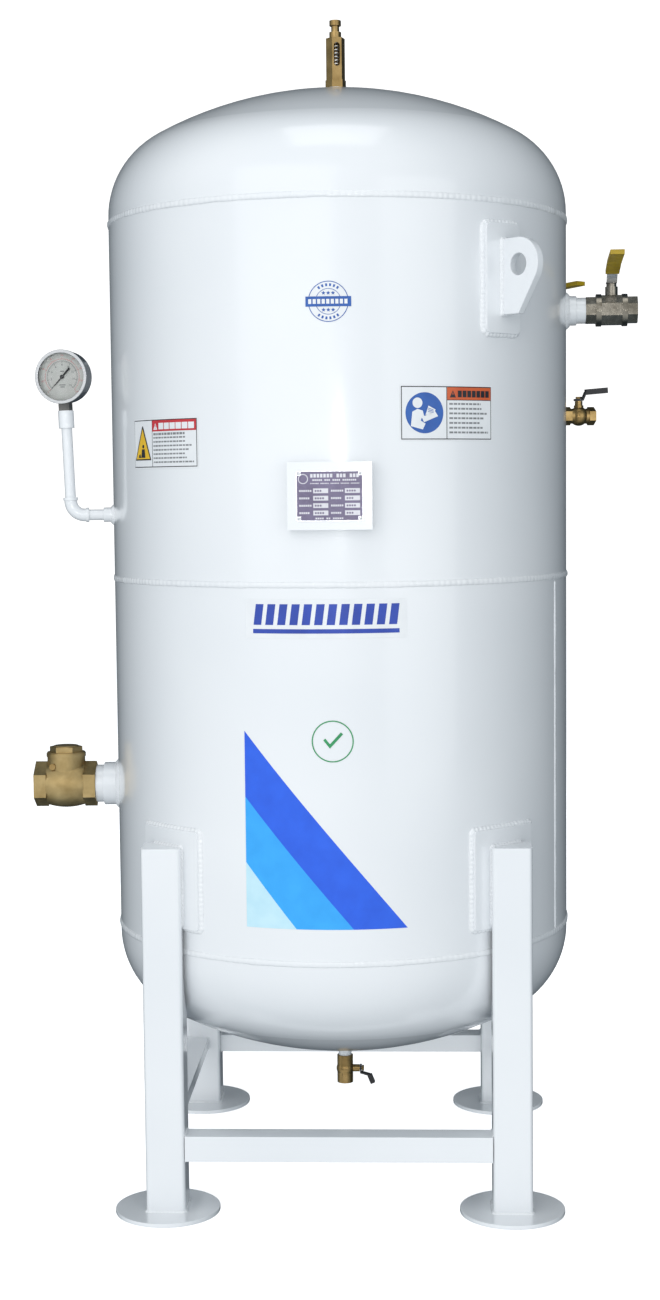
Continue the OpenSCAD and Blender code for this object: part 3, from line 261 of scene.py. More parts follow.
def bumps(n, shader, coord, layers):
    """Bump from noise layers of (scale, depth in metres, detail)."""
    normal = None
    for scale, depth, detail in layers:
        cloud = n.add("ShaderNodeTexNoise", Scale=scale, Detail=detail)
        n.link(coord, cloud.inputs["Vector"])
        bump = n.add("ShaderNodeBump", Strength=1.0, Distance=depth)
        n.link(cloud.outputs["Fac"], bump.inputs["Height"])
        if normal:
            n.link(normal, bump.inputs["Normal"])
        normal = bump.outputs[0]
    n.link(normal, shader.inputs["Normal"])


def paint(name, dark, light, rough=(0.28, 0.31), coat=0.5, grain=0.00006):
    mat, n, s, coord = principled(name)
    n.link(mottled(n, coord, 2.6, dark, light), s.inputs["Base Color"])
    n.link(varied(n, coord, 14, *rough), s.inputs["Roughness"])
    s.inputs["Coat Weight"].default_value = coat
    s.inputs["Coat Roughness"].default_value = 0.13
    bumps(n, s, coord, [(3.5, 0.0008, 0.0), (260.0, grain, 2.0)])
    return mat


def metal(name, dark, light, rough, scale=40, grain=(900.0, 0.00004), broad=(60.0, 0.0001)):
    mat, n, s, coord = principled(name)
    n.link(mottled(n, coord, scale, dark, light, detail=5.0), s.inputs["Base Color"])
    n.link(varied(n, coord, scale * 2.5, *rough, detail=4.0), s.inputs["Roughness"])
    s.inputs["Metallic"].default_value = 1.0
    bumps(n, s, coord, [(*broad, 2.0), (*grain, 3.0)])
    return mat


def plastic(name, dark, light, rough, grain=0.00003, coat=0.0):
    mat, n, s, coord = principled(name)
    n.link(mottled(n, coord, 35, dark, light), s.inputs["Base Color"])
    n.link(varied(n, coord, 60, *rough), s.inputs["Roughness"])
    s.inputs["Coat Weight"].default_value = coat
    bumps(n, s, coord, [(120.0, grain * 3, 2.0), (1200.0, grain, 2.0)])
    return mat


def film(name, dark, light, rough=(0.28, 0.4)):
    """A printed vinyl film."""
    mat, n, s, coord = principled(name)
    n.link(mottled(n, coord, 30, dark, light), s.inputs["Base Color"])
    n.link(varied(n, coord, 45, *rough), s.inputs["Roughness"])
    bumps(n, s, coord, [(5.0, 0.0012, 1.0), (400.0, 0.00002, 2.0)])
    return mat


def brushed(name, dark, light, rough, direction=(1, 1, 30)):
    """Metal with fine lines along one direction."""
    mat, n, s, coord = principled(name)
    stretch = n.add("ShaderNodeMapping")
    stretch.inputs["Scale"].default_value = direction
    n.link(coord, stretch.inputs["Vector"])
    n.link(mottled(n, stretch.outputs[0], 60, dark, light, detail=6.0), s.inputs["Base Color"])
    n.link(varied(n, stretch.outputs[0], 90, *rough, detail=5.0), s.inputs["Roughness"])
    s.inputs["Metallic"].default_value = 1.0
    bumps(n, s, stretch.outputs[0], [(80.0, 0.00003, 4.0)])
    return mat


def clear_glass(name):
    mat, n, s, coord = principled(name)
    n.link(varied(n, coord, 80, 0.0, 0.02), s.inputs["Roughness"])
    n.link(mottled(n, coord, 60, (0.97, 0.985, 0.98), (1, 1, 1)), s.inputs["Base Color"])
    s.inputs["Transmission Weight"].default_value = 1.0
    s.inputs["IOR"].default_value = 1.08
    bumps(n, s, coord, [(30.0, 0.00002, 1.0)])
    return mat


def make_materials():
    m = {
        "white_paint": paint("white_paint", (0.805, 0.83, 0.855), (0.85, 0.87, 0.89), coat=1.0),
        "weld_paint": paint("weld_paint", (0.80, 0.825, 0.85), (0.87, 0.885, 0.90), (0.2, 0.36), 0.5,
                            0.00014),
        "dark_fitting": metal("dark_fitting", (0.10, 0.10, 0.10), (0.22, 0.21, 0.20), (0.3, 0.5)),
        "gauge_steel": brushed("gauge_steel", (0.34, 0.35, 0.36), (0.50, 0.51, 0.52), (0.14, 0.26)),
        "gauge_glass": clear_glass("gauge_glass"),
        "dial_enamel": plastic("dial_enamel", (0.50, 0.50, 0.475), (0.58, 0.58, 0.555), (0.4, 0.5)),
        "black_enamel": plastic("black_enamel", (0.007, 0.007, 0.009), (0.016, 0.016, 0.019), (0.42, 0.55),
                                coat=0.05),
        "brass": metal("brass", (0.27, 0.175, 0.065), (0.44, 0.30, 0.125), (0.24, 0.38)),
        "cast_brass": metal("cast_brass", (0.33, 0.235, 0.10), (0.50, 0.375, 0.18), (0.36, 0.50), 30,
                            (700.0, 0.00022), (90.0, 0.0004)),
        "nickel_plate": metal("nickel_plate", (0.16, 0.145, 0.115), (0.30, 0.275, 0.23), (0.16, 0.30), 50,
                              (800.0, 0.00008), (120.0, 0.00016)),
        "chrome": metal("chrome", (0.74, 0.75, 0.76), (0.84, 0.85, 0.86), (0.04, 0.12)),
        "lever_steel": brushed("lever_steel", (0.50, 0.51, 0.52), (0.66, 0.67, 0.68), (0.24, 0.38),
                               (1, 1, 12)),
        "yellow_sleeve": plastic("yellow_sleeve", (0.34, 0.225, 0.002), (0.52, 0.36, 0.005), (0.38, 0.5),
                                 0.00006, 0.1),
        "seat_ptfe": plastic("seat_ptfe", (0.84, 0.84, 0.82), (0.9, 0.9, 0.88), (0.4, 0.55)),
        "spring_steel": metal("spring_steel", (0.60, 0.61, 0.62), (0.78, 0.79, 0.80), (0.12, 0.25)),
        "nameplate_metal": brushed("nameplate_metal", (0.56, 0.57, 0.60), (0.70, 0.71, 0.73), (0.22, 0.34),
                                   (30, 1, 1)),
        "plate_ink": film("plate_ink", (0.13, 0.105, 0.19), (0.18, 0.15, 0.26), (0.22, 0.34)),
        "plate_print": film("plate_print", (0.66, 0.65, 0.70), (0.76, 0.75, 0.80), (0.24, 0.36)),
        "label_white": film("label_white", (0.80, 0.82, 0.84), (0.85, 0.87, 0.885)),
        "label_black": film("label_black", (0.010, 0.012, 0.018), (0.024, 0.026, 0.034)),
        "label_grey": film("label_grey", (0.20, 0.21, 0.22), (0.27, 0.28, 0.29)),
        "label_red": film("label_red", (0.50, 0.02, 0.03), (0.62, 0.035, 0.045)),
        "label_orange": film("label_orange", (0.60, 0.10, 0.03), (0.70, 0.14, 0.04)),
        "label_yellow": film("label_yellow", (0.78, 0.47, 0.02), (0.88, 0.56, 0.04)),
        "label_blue": film("label_blue", (0.012, 0.09, 0.38), (0.02, 0.12, 0.46)),
        "label_green": film("label_green", (0.02, 0.26, 0.09), (0.03, 0.34, 0.12)),
        "stripe_deep": film("stripe_deep", (0.010, 0.105, 0.74), (0.014, 0.125, 0.82)),
        "stripe_mid": film("stripe_mid", (0.022, 0.37, 0.90), (0.032, 0.42, 0.96)),
        "stripe_pale": film("stripe_pale", (0.50, 0.78, 0.90), (0.58, 0.84, 0.94)),
        "mark_blue": film("mark_blue", (0.014, 0.05, 0.36), (0.02, 0.065, 0.44)),
    }
    return m


# ---- Geometry helpers ----

def mesh_object(name, bm, mat, smooth=None):
    mesh = bpy.data.meshes.new(name)
    bm.normal_update()
    bm.to_mesh(mesh)
    bm.free()
    if mat:
        mesh.materials.append(mat)
    if smooth is not None:
        mesh.polygons.foreach_set("use_smooth", [True] * len(mesh.polygons))
        mesh.set_sharp_from_angle(angle=math.radians(smooth))
    obj = bpy.data.objects.new(name, mesh)
    bpy.context.scene.collection.objects.link(obj)
    return obj


def polar(az, rho, z):
    """A point in mm from an azimuth in degrees, a radius and a height."""
    a = math.radians(az)
    return Vector((rho * math.sin(a), -rho * math.cos(a), z))


def bake(piece):
    """Replaces the piece's mesh with what its modifiers make of it."""
    bpy.context.view_layer.update()
    made = bpy.data.meshes.new_from_object(piece.evaluated_get(bpy.context.evaluated_depsgraph_get()))
    piece.modifiers.clear()
    piece.data = made


def finished_copy(node, mat, width, body=ROOT, segments=2):
    """The CAD node's own shape with its sharp edges rounded, as the made piece has."""
    source = nodes[node]
    bm = bmesh.new()
    bm.from_mesh(source.data)
    bmesh.ops.remove_doubles(bm, verts=bm.verts, dist=0.000002)
    bmesh.ops.dissolve_limit(bm, angle_limit=math.radians(0.6), verts=bm.verts, edges=bm.edges)
    piece = mesh_object(node + "_finished", bm, mat)
    bevel = piece.modifiers.new("edges", "BEVEL")
    bevel.width = width * MM
    bevel.segments = segments
    bevel.limit_method = "ANGLE"
    bevel.angle_limit = math.radians(32)
    bake(piece)
    piece.data.polygons.foreach_set("use_smooth", [True] * len(piece.data.polygons))
    piece.data.set_sharp_from_angle(angle=math.radians(28))
    # wide faces keep their flat look beside the rounded edges
    shading = piece.modifiers.new("shading", "WEIGHTED_NORMAL")
    shading.keep_sharp = True
    shading.weight = 50
    bake(piece)
    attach(piece, body)
    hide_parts(node)
    return piece


def wobble(s, seed, scale):
    """Smooth noise along a run of s mm, about zero."""
    return noise.noise(Vector((s / scale, seed * 7.31, seed * 1.7)))


def bead(bm, line, normals, width, height, seed, closed=False, pitch=9.0, rounds=7):
    """A rippled weld bead along a line of points in mm, each with the direction that it stands out in."""
    steps = len(line)
    run = 0.0
    rings = []
    for i in range(steps):
        before = line[i - 1] if (i or closed) else line[i]
        after = line[(i + 1) % steps] if (i < steps - 1 or closed) else line[i]
        if i:
            run += (line[i] - line[i - 1]).length
        along = (after - before).normalized()
        side = along.cross(normals[i]).normalized()
        ripple = abs(math.sin(math.pi * run / pitch + 0.8 * wobble(run, seed, 18)))
        lump = wobble(run, seed + 3, 34)
        h = height * (0.66 + 0.34 * ripple ** 0.7 + 0.32 * lump)
        w = width * (1 + 0.05 * ripple + 0.16 * wobble(run, seed + 5, 26)) / 2
        if not closed:
            fade = min(1.0, (i + 0.4) / 3, (steps - i - 0.6) / 3)
            h *= fade ** 0.5
            w *= 0.55 + 0.45 * fade
        ring = []
        for k in range(rounds):
            a = math.pi * k / (rounds - 1)
            sink = 0.35 if k in (0, rounds - 1) else 0.0
            p = line[i] + side * (w * math.cos(a)) + normals[i] * (h * math.sin(a) - sink)
            ring.append(bm.verts.new(p * MM))
        rings.append(ring)
    for i in range(steps if closed else steps - 1):
        a, b = rings[i], rings[(i + 1) % steps]
        for k in range(rounds - 1):
            bm.faces.new((a[k], b[k], b[k + 1], a[k + 1]))
    if not closed:
        bm.faces.new(rings[0])
        bm.faces.new(list(reversed(rings[-1])))


def join_rings(bm, rings):
    """Faces between open rows of points, the last row joined to the first."""
    for i in range(len(rings)):
        a, b = rings[i], rings[(i + 1) % len(rings)]
        for k in range(len(a) - 1):
            bm.faces.new((a[k], a[k + 1], b[k + 1], b[k]))


def resample(points, step):
    """Evenly spaced points along a polyline."""
    out = [points[0].copy()]
    left = step
    for a, b in zip(points, points[1:]):
        d = (b - a).length
        at = left
        while at < d:
            out.append(a.lerp(b, at / d))
            at += step
        left = at - d
    return out


def shell_outline(az, z, w, h, corner, radius, step=2.0):
    """A rounded rectangle rolled onto the shell: points and outward directions."""
    flat = []
    for cx, cy, start in CORNERS:
        for k in range(7):
            a = math.radians(start + 15 * k)
            flat.append(Vector((cx * (w / 2 - corner) + corner * math.cos(a),
                                cy * (h / 2 - corner) + corner * math.sin(a), 0)))
    flat.append(flat[0].copy())
    flat = resample(flat, step)
    pts, outs = [], []
    for p in flat:
        around = az + math.degrees(math.asin(p.x / radius))
        pts.append(polar(around, radius, z + p.y))
        outs.append(polar(around, 1, 0))
    return pts, outs


def tilt(points, outs, centre, amount):
    """Leans each outward direction away from a centre, for a fillet in a corner."""
    return [(o + (p - centre).normalized() * amount).normalized() for p, o in zip(points, outs)]


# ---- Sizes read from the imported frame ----

def read_sizes():
    s = {}
    low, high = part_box("upper_shell")
    s["R"] = (high.x - low.x) / 2 / MM
    s["seams"] = [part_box("lower_shell")[0].z / MM, low.z / MM, high.z / MM]
    s["apex"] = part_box("top_head")[1].z / MM
    s["nadir"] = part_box("bottom_head")[0].z / MM
    low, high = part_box("leg_pads")
    s["pad_z"] = (low.z / MM, high.z / MM)
    low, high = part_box("leg_front_right")
    s["leg_x"] = (low.x / MM, high.x / MM)
    s["leg_y"] = (-low.y / MM, -high.y / MM)
    s["leg_top"] = high.z / MM
    s["lug_pad_z"] = tuple(v.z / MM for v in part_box("lug_pads"))
    s["lug_z"] = tuple(v.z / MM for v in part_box("lifting_lugs"))
    return s


# ---- Welds ----

def branch_list():
    """Each side branch: azimuth, height and coupling radius."""
    found = []
    for joint, r in (("outlet_turn", LARGE_COUPLING_R), ("rear_turn", LARGE_COUPLING_R),
                     ("side_turn", SMALL_COUPLING_R), ("flapper_swing", INLET_COUPLING_R)):
        p = Vector(joints[joint]["pos_m"]) / MM
        az = math.degrees(math.atan2(p.x, -p.y))
        found.append([az, p.z, r])
    pin_over_pipe = 38.5
    found[3][1] -= pin_over_pipe
    pipe_over_elbow = 14.45
    found.append([GAUGE_AZ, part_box("gauge_elbow")[0].z / MM + pipe_over_elbow, GAUGE_COUPLING_R])
    return found


def nozzle_fillet(bm, az, z, r, radius, size, seed):
    """A fillet weld where a coupling leaves the shell."""
    a = math.radians(az)
    out = Vector((math.sin(a), -math.cos(a), 0))
    across = Vector((math.cos(a), math.sin(a), 0))
    up = Vector((0, 0, 1))
    steps = max(64, int(TAU * r / 1.2))
    rings = []
    for i in range(steps):
        t = TAU * i / steps
        run = t * r
        ripple = abs(math.sin(math.pi * run / 4.6))
        f = size * (0.90 + 0.05 * ripple + 0.16 * wobble(run, seed, 15))
        dx, dy = math.cos(t), math.sin(t)
        toe_x = (r + f) * dx
        top = math.sqrt(radius ** 2 - (r * dx) ** 2) + f
        toe = math.sqrt(radius ** 2 - toe_x ** 2) - 0.4
        ring = []
        for k in range(7):
            q = k / 6
            rr = r - 0.3 + (f + 0.3) * q
            flat_z = top * (1 - q) + toe * q
            bulge = 0.12 * f * math.sin(math.pi * q) * (0.8 + 0.35 * ripple)
            p = across * (rr * dx + bulge * dx * 0.7) + up * (rr * dy + bulge * dy * 0.7)
            p += out * (flat_z + bulge * 0.7)
            ring.append(bm.verts.new((p + up * z) * MM))
        rings.append(ring)
    join_rings(bm, rings)


def head_fillet(bm, r, z, up, size, seed):
    """A fillet weld where a coupling leaves the middle of a head."""
    steps = 128
    rings = []
    for i in range(steps):
        t = TAU * i / steps
        ripple = abs(math.sin(math.pi * t * r / 4.6))
        f = size * (0.92 + 0.03 * ripple + 0.12 * wobble(t * r, seed, 15))
        ring = []
        for k in range(7):
            q = k / 6
            bulge = 0.07 * f * math.sin(math.pi * q)
            rr = r - 0.3 + (f + 0.3) * q + bulge
            rise = f * (1 - q) + bulge - 0.4 * q
            ring.append(bm.verts.new(Vector((rr * math.cos(t), rr * math.sin(t), z + up * rise)) * MM))
        rings.append(ring)
    join_rings(bm, rings)


def make_shell_welds(s, mat):
    bm = bmesh.new()
    R = s["R"]
    step = 2.2
    for seed, z in enumerate(s["seams"]):
        steps = int(TAU * R / step)
        pts = [polar(360 * i / steps, R, z + 0.8 * wobble(i * step, seed + 11, 160)) for i in range(steps)]
        outs = [polar(360 * i / steps, 1, 0) for i in range(steps)]
        bead(bm, pts, outs, 11.5, 2.5, seed + 1, closed=True, pitch=12)
    low, middle, high = s["seams"]
    for seed, (az, z0, z1) in enumerate(((LOWER_SEAM_AZ, low, middle), (UPPER_SEAM_AZ, middle, high))):
        steps = int((z1 - z0 - 10) / step)
        pts = [polar(az, R, z0 + 5 + step * i) for i in range(steps)]
        bead(bm, pts, [polar(az, 1, 0)] * steps, 9.5, 2.0, seed + 6)
    for seed, (az, z, r) in enumerate(branch_list()):
        nozzle_fillet(bm, az, z, r, R, 8.5 if r > 20 else 6.5, seed + 20)
    head_fillet(bm, APEX_COUPLING_R, s["apex"], 1, 7.5, 31)
    head_fillet(bm, SMALL_COUPLING_R, s["nadir"], -1, 7.0, 32)
    bmesh.ops.recalc_face_normals(bm, faces=bm.faces)
    piece = mesh_object("shell_welds_rippled", bm, mat, 50)
    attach(piece, ROOT)
    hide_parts("weld_beads")


def leg_pad_welds(bm, s, seeds):
    """Round each pad under a leg."""
    leg_az = math.degrees(math.atan2(sum(s["leg_x"]), sum(s["leg_y"])))
    z0, z1 = s["pad_z"]
    centre_z = (z0 + z1) / 2
    for az in (-leg_az, leg_az, 180 - leg_az, 180 + leg_az):
        pts, outs = shell_outline(az, centre_z, 157, z1 - z0 + 3, 7, s["R"])
        leaning = tilt(pts, outs, polar(az, s["R"], centre_z), 0.5)
        bead(bm, pts[:-1], leaning[:-1], 11, 5.0, next(seeds), closed=True)


def leg_weld(bm, s, sx, sy, seed):
    """Up one side of a leg on its pad, over its top and down the other side."""
    pad_r = s["R"] + 8
    x0, y0 = s["leg_x"][0], s["leg_y"][1]
    inner = Vector((sx * x0, sy * math.sqrt(pad_r ** 2 - x0 ** 2), 0))
    outer = Vector((sx * math.sqrt(pad_r ** 2 - y0 ** 2), sy * y0, 0))
    a_in = math.degrees(math.atan2(inner.x, -inner.y))
    a_out = math.degrees(math.atan2(outer.x, -outer.y))
    if a_out - a_in > 180:
        a_out -= 360
    if a_in - a_out > 180:
        a_out += 360
    foot, top = s["pad_z"][0] + 4, s["leg_top"]
    line = [inner + Vector((0, 0, foot))]
    line += [polar(a_in + (a_out - a_in) * k / 16, pad_r, top) for k in range(17)]
    line.append(outer + Vector((0, 0, foot)))
    line = resample(line, 2.0)
    centre = polar((a_in + a_out) / 2, pad_r, (foot + top) / 2)
    outs = []
    for p in line:
        o = Vector((p.x, p.y, 0)).normalized()
        if p.z > top - 1:
            away = Vector((0, 0, 1))
        else:
            away = (p - centre) - o * (p - centre).dot(o)
            away.z = 0
        outs.append((o + away.normalized() * 0.9).normalized())
    bead(bm, line, outs, 10, 4.2, seed, pitch=8)


def foot_weld(bm, s, sx, sy, seed):
    """Round the foot of a leg, on its plate."""
    x0, x1 = s["leg_x"]
    y1, y0 = s["leg_y"]
    cx, cy, half = (x0 + x1) / 2, (y0 + y1) / 2, (x1 - x0) / 2
    corner, offset, plate_t = 8, 8.6, 8
    ring = []
    for qx, qy, start in CORNERS:
        for k in range(6):
            a = math.radians(start + 18 * k)
            ring.append(Vector((sx * cx + qx * (half - corner) + offset * math.cos(a),
                                sy * cy + qy * (half - corner) + offset * math.sin(a), plate_t)))
    ring.append(ring[0].copy())
    ring = resample(ring, 2.0)
    hub = Vector((sx * cx, sy * cy, plate_t))
    outs = [(Vector((0, 0, 1)) + (p - hub).normalized() * 0.9).normalized() for p in ring]
    bead(bm, ring[:-1], outs[:-1], 8, 3.4, seed, closed=True, pitch=7)


def bar_weld(bm, face, hub, inward, width, height, seed):
    """Along the visible sides of a tie bar's end."""
    line = resample(face, 2.0)
    outs = [((p - hub).normalized() + inward * 0.7).normalized() for p in line]
    bead(bm, line, outs, width, height, seed, pitch=7)


def bar_welds(bm, seeds):
    for node in ("front_bar", "rear_bar"):
        low, high = (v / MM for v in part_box(node))
        for sx in (-1, 1):
            x = sx * (high.x - 0.3)
            sides = ((low.y + 1, low.z), (high.y - 1, low.z), (high.y, low.z + 1),
                     (high.y, high.z - 1), (high.y - 1, high.z), (low.y + 1, high.z))
            hub = Vector((x, (low.y + high.y) / 2, (low.z + high.z) / 2))
            bar_weld(bm, [Vector((x, y, z)) for y, z in sides], hub, Vector((-sx, 0, 0)), 7, 2.6, next(seeds))
    low, high = (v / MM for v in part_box("side_bars"))
    bar_w = 50
    for sx in (-1, 1):
        for sy in (-1, 1):
            y = sy * (high.y - 0.3)
            xa, xb = sx * (high.x - bar_w), sx * high.x
            sides = ((xa, low.z), (xa, high.z), (xb, high.z), (xb, low.z))
            hub = Vector(((xa + xb) / 2, y, (low.z + high.z) / 2))
            bar_weld(bm, [Vector((x, y, z)) for x, z in sides], hub, Vector((0, -sy, 0)), 6, 2.2, next(seeds))


def lug_welds(bm, s, seeds):
    """Round each lug's pad, then down both sides and across both ends of the lug."""
    z0, z1 = s["lug_pad_z"]
    low_z, high_z = s["lug_z"]
    centre_z = (z0 + z1) / 2
    root = s["R"] + 10
    for az in (LUG_AZ, LUG_AZ + 180):
        pts, outs = shell_outline(az, centre_z, 92, z1 - z0 + 3, 13, s["R"])
        leaning = tilt(pts, outs, polar(az, s["R"], centre_z), 0.5)
        bead(bm, pts[:-1], leaning[:-1], 11, 5.5, next(seeds), closed=True)
        out = polar(az, 1, 0)
        across = Vector((-out.y, out.x, 0))
        for side in (-1, 1):
            a = out * (root - 0.2) + across * (side * 8)
            line = resample([a + Vector((0, 0, low_z - 3)), a + Vector((0, 0, high_z + 3))], 2.0)
            leaning = [(out + across * side).normalized()] * len(line)
            bead(bm, line, leaning, 10, 4.4, next(seeds), pitch=8)
        for end, up in ((low_z, -1), (high_z, 1)):
            line = resample([out * root + across * (k * 10) + Vector((0, 0, end)) for k in (-1, 1)], 2.0)
            leaning = [(out + Vector((0, 0, up))).normalized()] * len(line)
            bead(bm, line, leaning, 9, 4.0, next(seeds), pitch=8)


def make_stand_welds(s, mat):
    bm = bmesh.new()
    seeds = itertools.count(41)
    leg_pad_welds(bm, s, seeds)
    for sx in (-1, 1):
        for sy in (-1, 1):
            leg_weld(bm, s, sx, sy, next(seeds))
            foot_weld(bm, s, sx, sy, next(seeds))
    bar_welds(bm, seeds)
    lug_welds(bm, s, seeds)
    bmesh.ops.recalc_face_normals(bm, faces=bm.faces)
    piece = mesh_object("stand_and_lug_welds", bm, mat, 50)
    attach(piece, ROOT)


# ---- Printed films on the shell ----

class Film:
    """Flat shapes, in mm along and up the shell, laid onto it in thin layers."""

    facet = 6
    lift = 0.25
    layer_step = 0.22

    def __init__(self, az, z, radius):
        self.az, self.z, self.radius = az, z, radius

    def lay(self, bm, outline, layer):
        base = bmesh.new()
        base.faces.new([base.verts.new((x, y, 0)) for x, y in outline])
        xs = [x for x, _ in outline]
        at = math.floor(min(xs) / self.facet) * self.facet + self.facet
        while at < max(xs):
            bmesh.ops.bisect_plane(base, geom=base.verts[:] + base.edges[:] + base.faces[:], dist=1e-5,
                                   plane_co=(at, 0, 0), plane_no=(1, 0, 0))
            at += self.facet
        r = self.radius + self.lift + self.layer_step * layer
        made = {v: bm.verts.new(polar(self.az + math.degrees(v.co.x / self.radius), r, self.z + v.co.y) * MM)
                for v in base.verts}
        for f in base.faces:
            bm.faces.new([made[v] for v in f.verts])
        base.free()


def box2(x0, y0, x1, y1):
    return [(x0, y0), (x1, y0), (x1, y1), (x0, y1)]


def disc2(cx, cy, r, count=48, start=0.0, sweep=TAU):
    full = abs(sweep - TAU) < 1e-6
    n = count if full else count + 1
    return [(cx + r * math.cos(start + sweep * i / count), cy + r * math.sin(start + sweep * i / count))
            for i in range(n)]


def ring2(cx, cy, r0, r1, count=48):
    """A ring as a list of four-sided pieces."""
    out = []
    for i in range(count):
        a, b = TAU * i / count, TAU * (i + 1) / count
        corners = ((r0, a), (r1, a), (r1, b), (r0, b))
        out.append([(cx + r * math.cos(t), cy + r * math.sin(t)) for r, t in corners])
    return out


def lay_all(name, film, shapes, mats):
    """One piece per colour: shapes is a list of (colour, layer, outline)."""
    for colour in dict.fromkeys(c for c, _, _ in shapes):
        bm = bmesh.new()
        for c, layer, outline in shapes:
            if c == colour:
                film.lay(bm, outline, layer)
        bmesh.ops.recalc_face_normals(bm, faces=bm.faces)
        for f in bm.faces:
            c = f.calc_center_median()
            if f.normal.x * c.x + f.normal.y * c.y < 0:
                f.normal_flip()
        piece = mesh_object(name + "_" + colour, bm, mats[colour], 40)
        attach(piece, ROOT)


def text_lines(x0, x1, y_top, rows, pitch, height, seed, colour="label_grey", layer=3):
    """Short bars that stand for lines of small print."""
    shapes = []
    for row in range(rows):
        x, y = x0, y_top - pitch * row
        k = 0
        end = x1 - (x1 - x0) * 0.22 * abs(math.sin(seed + row * 2.3))
        while x < end:
            w = 3.5 + 5.0 * abs(math.sin(seed * 1.7 + row * 3.1 + k * 1.9))
            w = min(w, end - x)
            if w > 1.2:
                shapes.append((colour, layer, box2(x, y - height, x + w, y)))
            x += w + 1.7
            k += 1
    return shapes


def blocks(colour, layer, x0, x1, y0, y1, count, gap):
    """A row of plain upright blocks."""
    pitch = (x1 - x0 + gap) / count
    return [(colour, layer, box2(x0 + pitch * k, y0, x0 + pitch * (k + 1) - gap, y1)) for k in range(count)]


def framed(w, h, cut, edge, gap):
    """A white film with a black border and a black upright line, w by h mm, with two white cells."""
    left, top = -w / 2, h / 2
    return [("label_white", 0, box2(left - 2.5, -top - 2.5, -left + 2.5, top + 2.5)),
            ("label_black", 1, box2(left, -top, -left, top)),
            ("label_white", 2, box2(left + edge[0], -top + edge[1], cut - gap, top - edge[1])),
            ("label_white", 2, box2(cut + gap, -top + edge[1], -left - edge[0], top - edge[1]))]


def hazard_panel(radius, mats):
    """A yellow hazard triangle beside a red header and lines of small print."""
    w, h = 23.6 * math.radians(radius), 89
    left, top = -w / 2, h / 2
    cut = left + 0.35 * w
    mid_x = (left + cut) / 2
    triangle = [(mid_x - 29, -31), (mid_x + 29, -31), (mid_x + 1.5, 33), (mid_x - 1.5, 33)]
    shapes = framed(w, h, cut, (1.3, 1.6), 0.7)
    shapes += [("label_red", 3, box2(cut + 0.7, top - 22, -left - 1.3, top - 1.6)),
               ("label_black", 3, triangle),
               ("label_yellow", 4, [(mid_x - 25, -28.5), (mid_x + 25, -28.5), (mid_x, 28)]),
               ("label_black", 5, disc2(mid_x + 2, -5, 3.4, 20)),
               ("label_black", 5, [(mid_x - 3, -10), (mid_x + 7, -10), (mid_x + 9, -26), (mid_x - 6, -26)]),
               ("label_black", 5, [(mid_x - 16, -26), (mid_x - 7, -26), (mid_x - 9, -19), (mid_x - 14, -21)]),
               ("label_white", 4, [(cut + 5, top - 19), (cut + 17, top - 19), (cut + 11, top - 6.5)]),
               ("label_red", 5, box2(cut + 10.2, top - 14.5, cut + 11.8, top - 10)),
               ("label_red", 5, box2(cut + 10.2, top - 17, cut + 11.8, top - 15.6))]
    shapes += blocks("label_white", 4, cut + 21, -left - 6, top - 18.5, top - 6.5, 6, 1.9)
    shapes += text_lines(cut + 4, -left - 5, top - 25, 1, 7.0, 4.2, 8)
    shapes += text_lines(cut + 4, -left - 5, top - 32.5, 7, 7.6, 2.9, 2)
    lay_all("left_panel", Film(-44.6, 1462.5, radius), shapes, mats)


def reader_panel(radius, mats):
    """A blue disc with a reader and a book beside an orange header and lines of small print."""
    w, h = 23.65 * math.radians(radius), 96
    left, top = -w / 2, h / 2
    cut = left + 89.3
    cx = left + 45
    torso = [(cx - 27, -24), (cx - 4, -30), (cx + 2, -18), (cx - 4, 4), (cx - 14, 7), (cx - 24, 2)]
    shapes = framed(w, h, cut, (1.5, 1.7), 0.8)
    shapes += [("label_blue", 3, disc2(cx, 0, 37, 64)),
               ("label_orange", 3, box2(cut + 0.8, top - 24, -left - 1.5, top - 1.7)),
               ("label_black", 3, box2(cut + 0.8, top - 25.2, -left - 1.5, top - 24)),
               ("label_black", 4, [(cut + 6, top - 20), (cut + 19, top - 20), (cut + 12.5, top - 7)]),
               ("label_orange", 5, box2(cut + 11.7, top - 15, cut + 13.3, top - 11)),
               ("label_white", 4, disc2(cx - 14, 18, 9.5, 32)),
               ("label_white", 4, torso),
               ("label_blue", 5, [(cx - 8, -14), (cx + 4, -21), (cx + 9, -17), (cx - 5, -7)]),
               ("label_white", 6, [(cx - 2, -17), (cx + 26, -6), (cx + 20, 3), (cx - 6, -8)]),
               ("label_white", 6, [(cx + 1, -4), (cx + 7, 13), (cx + 21, 6), (cx + 18, -1)])]
    for k in range(3):
        near, far = 1.6 + 3.2 * k, 0.2 + 2.2 * k
        line = [(cx + 6, near), (cx + 17, far), (cx + 17, far + 1), (cx + 6, near + 1.2)]
        shapes.append(("label_blue", 7, line))
    shapes += blocks("label_black", 4, cut + 23, -left - 6, top - 19.5, top - 7.5, 7, 1.9)
    shapes += text_lines(cut + 5, -left - 7, top - 30, 7, 8.6, 3.3, 5)
    lay_all("right_panel", Film(28.2, 1510, radius), shapes, mats)


def star2(cx, cy, r0, r1):
    turns = [(r0 if i % 2 == 0 else r1, math.pi / 2 + math.pi * i / 5) for i in range(10)]
    return [(cx + r * math.cos(a), cy + r * math.sin(a)) for r, a in turns]


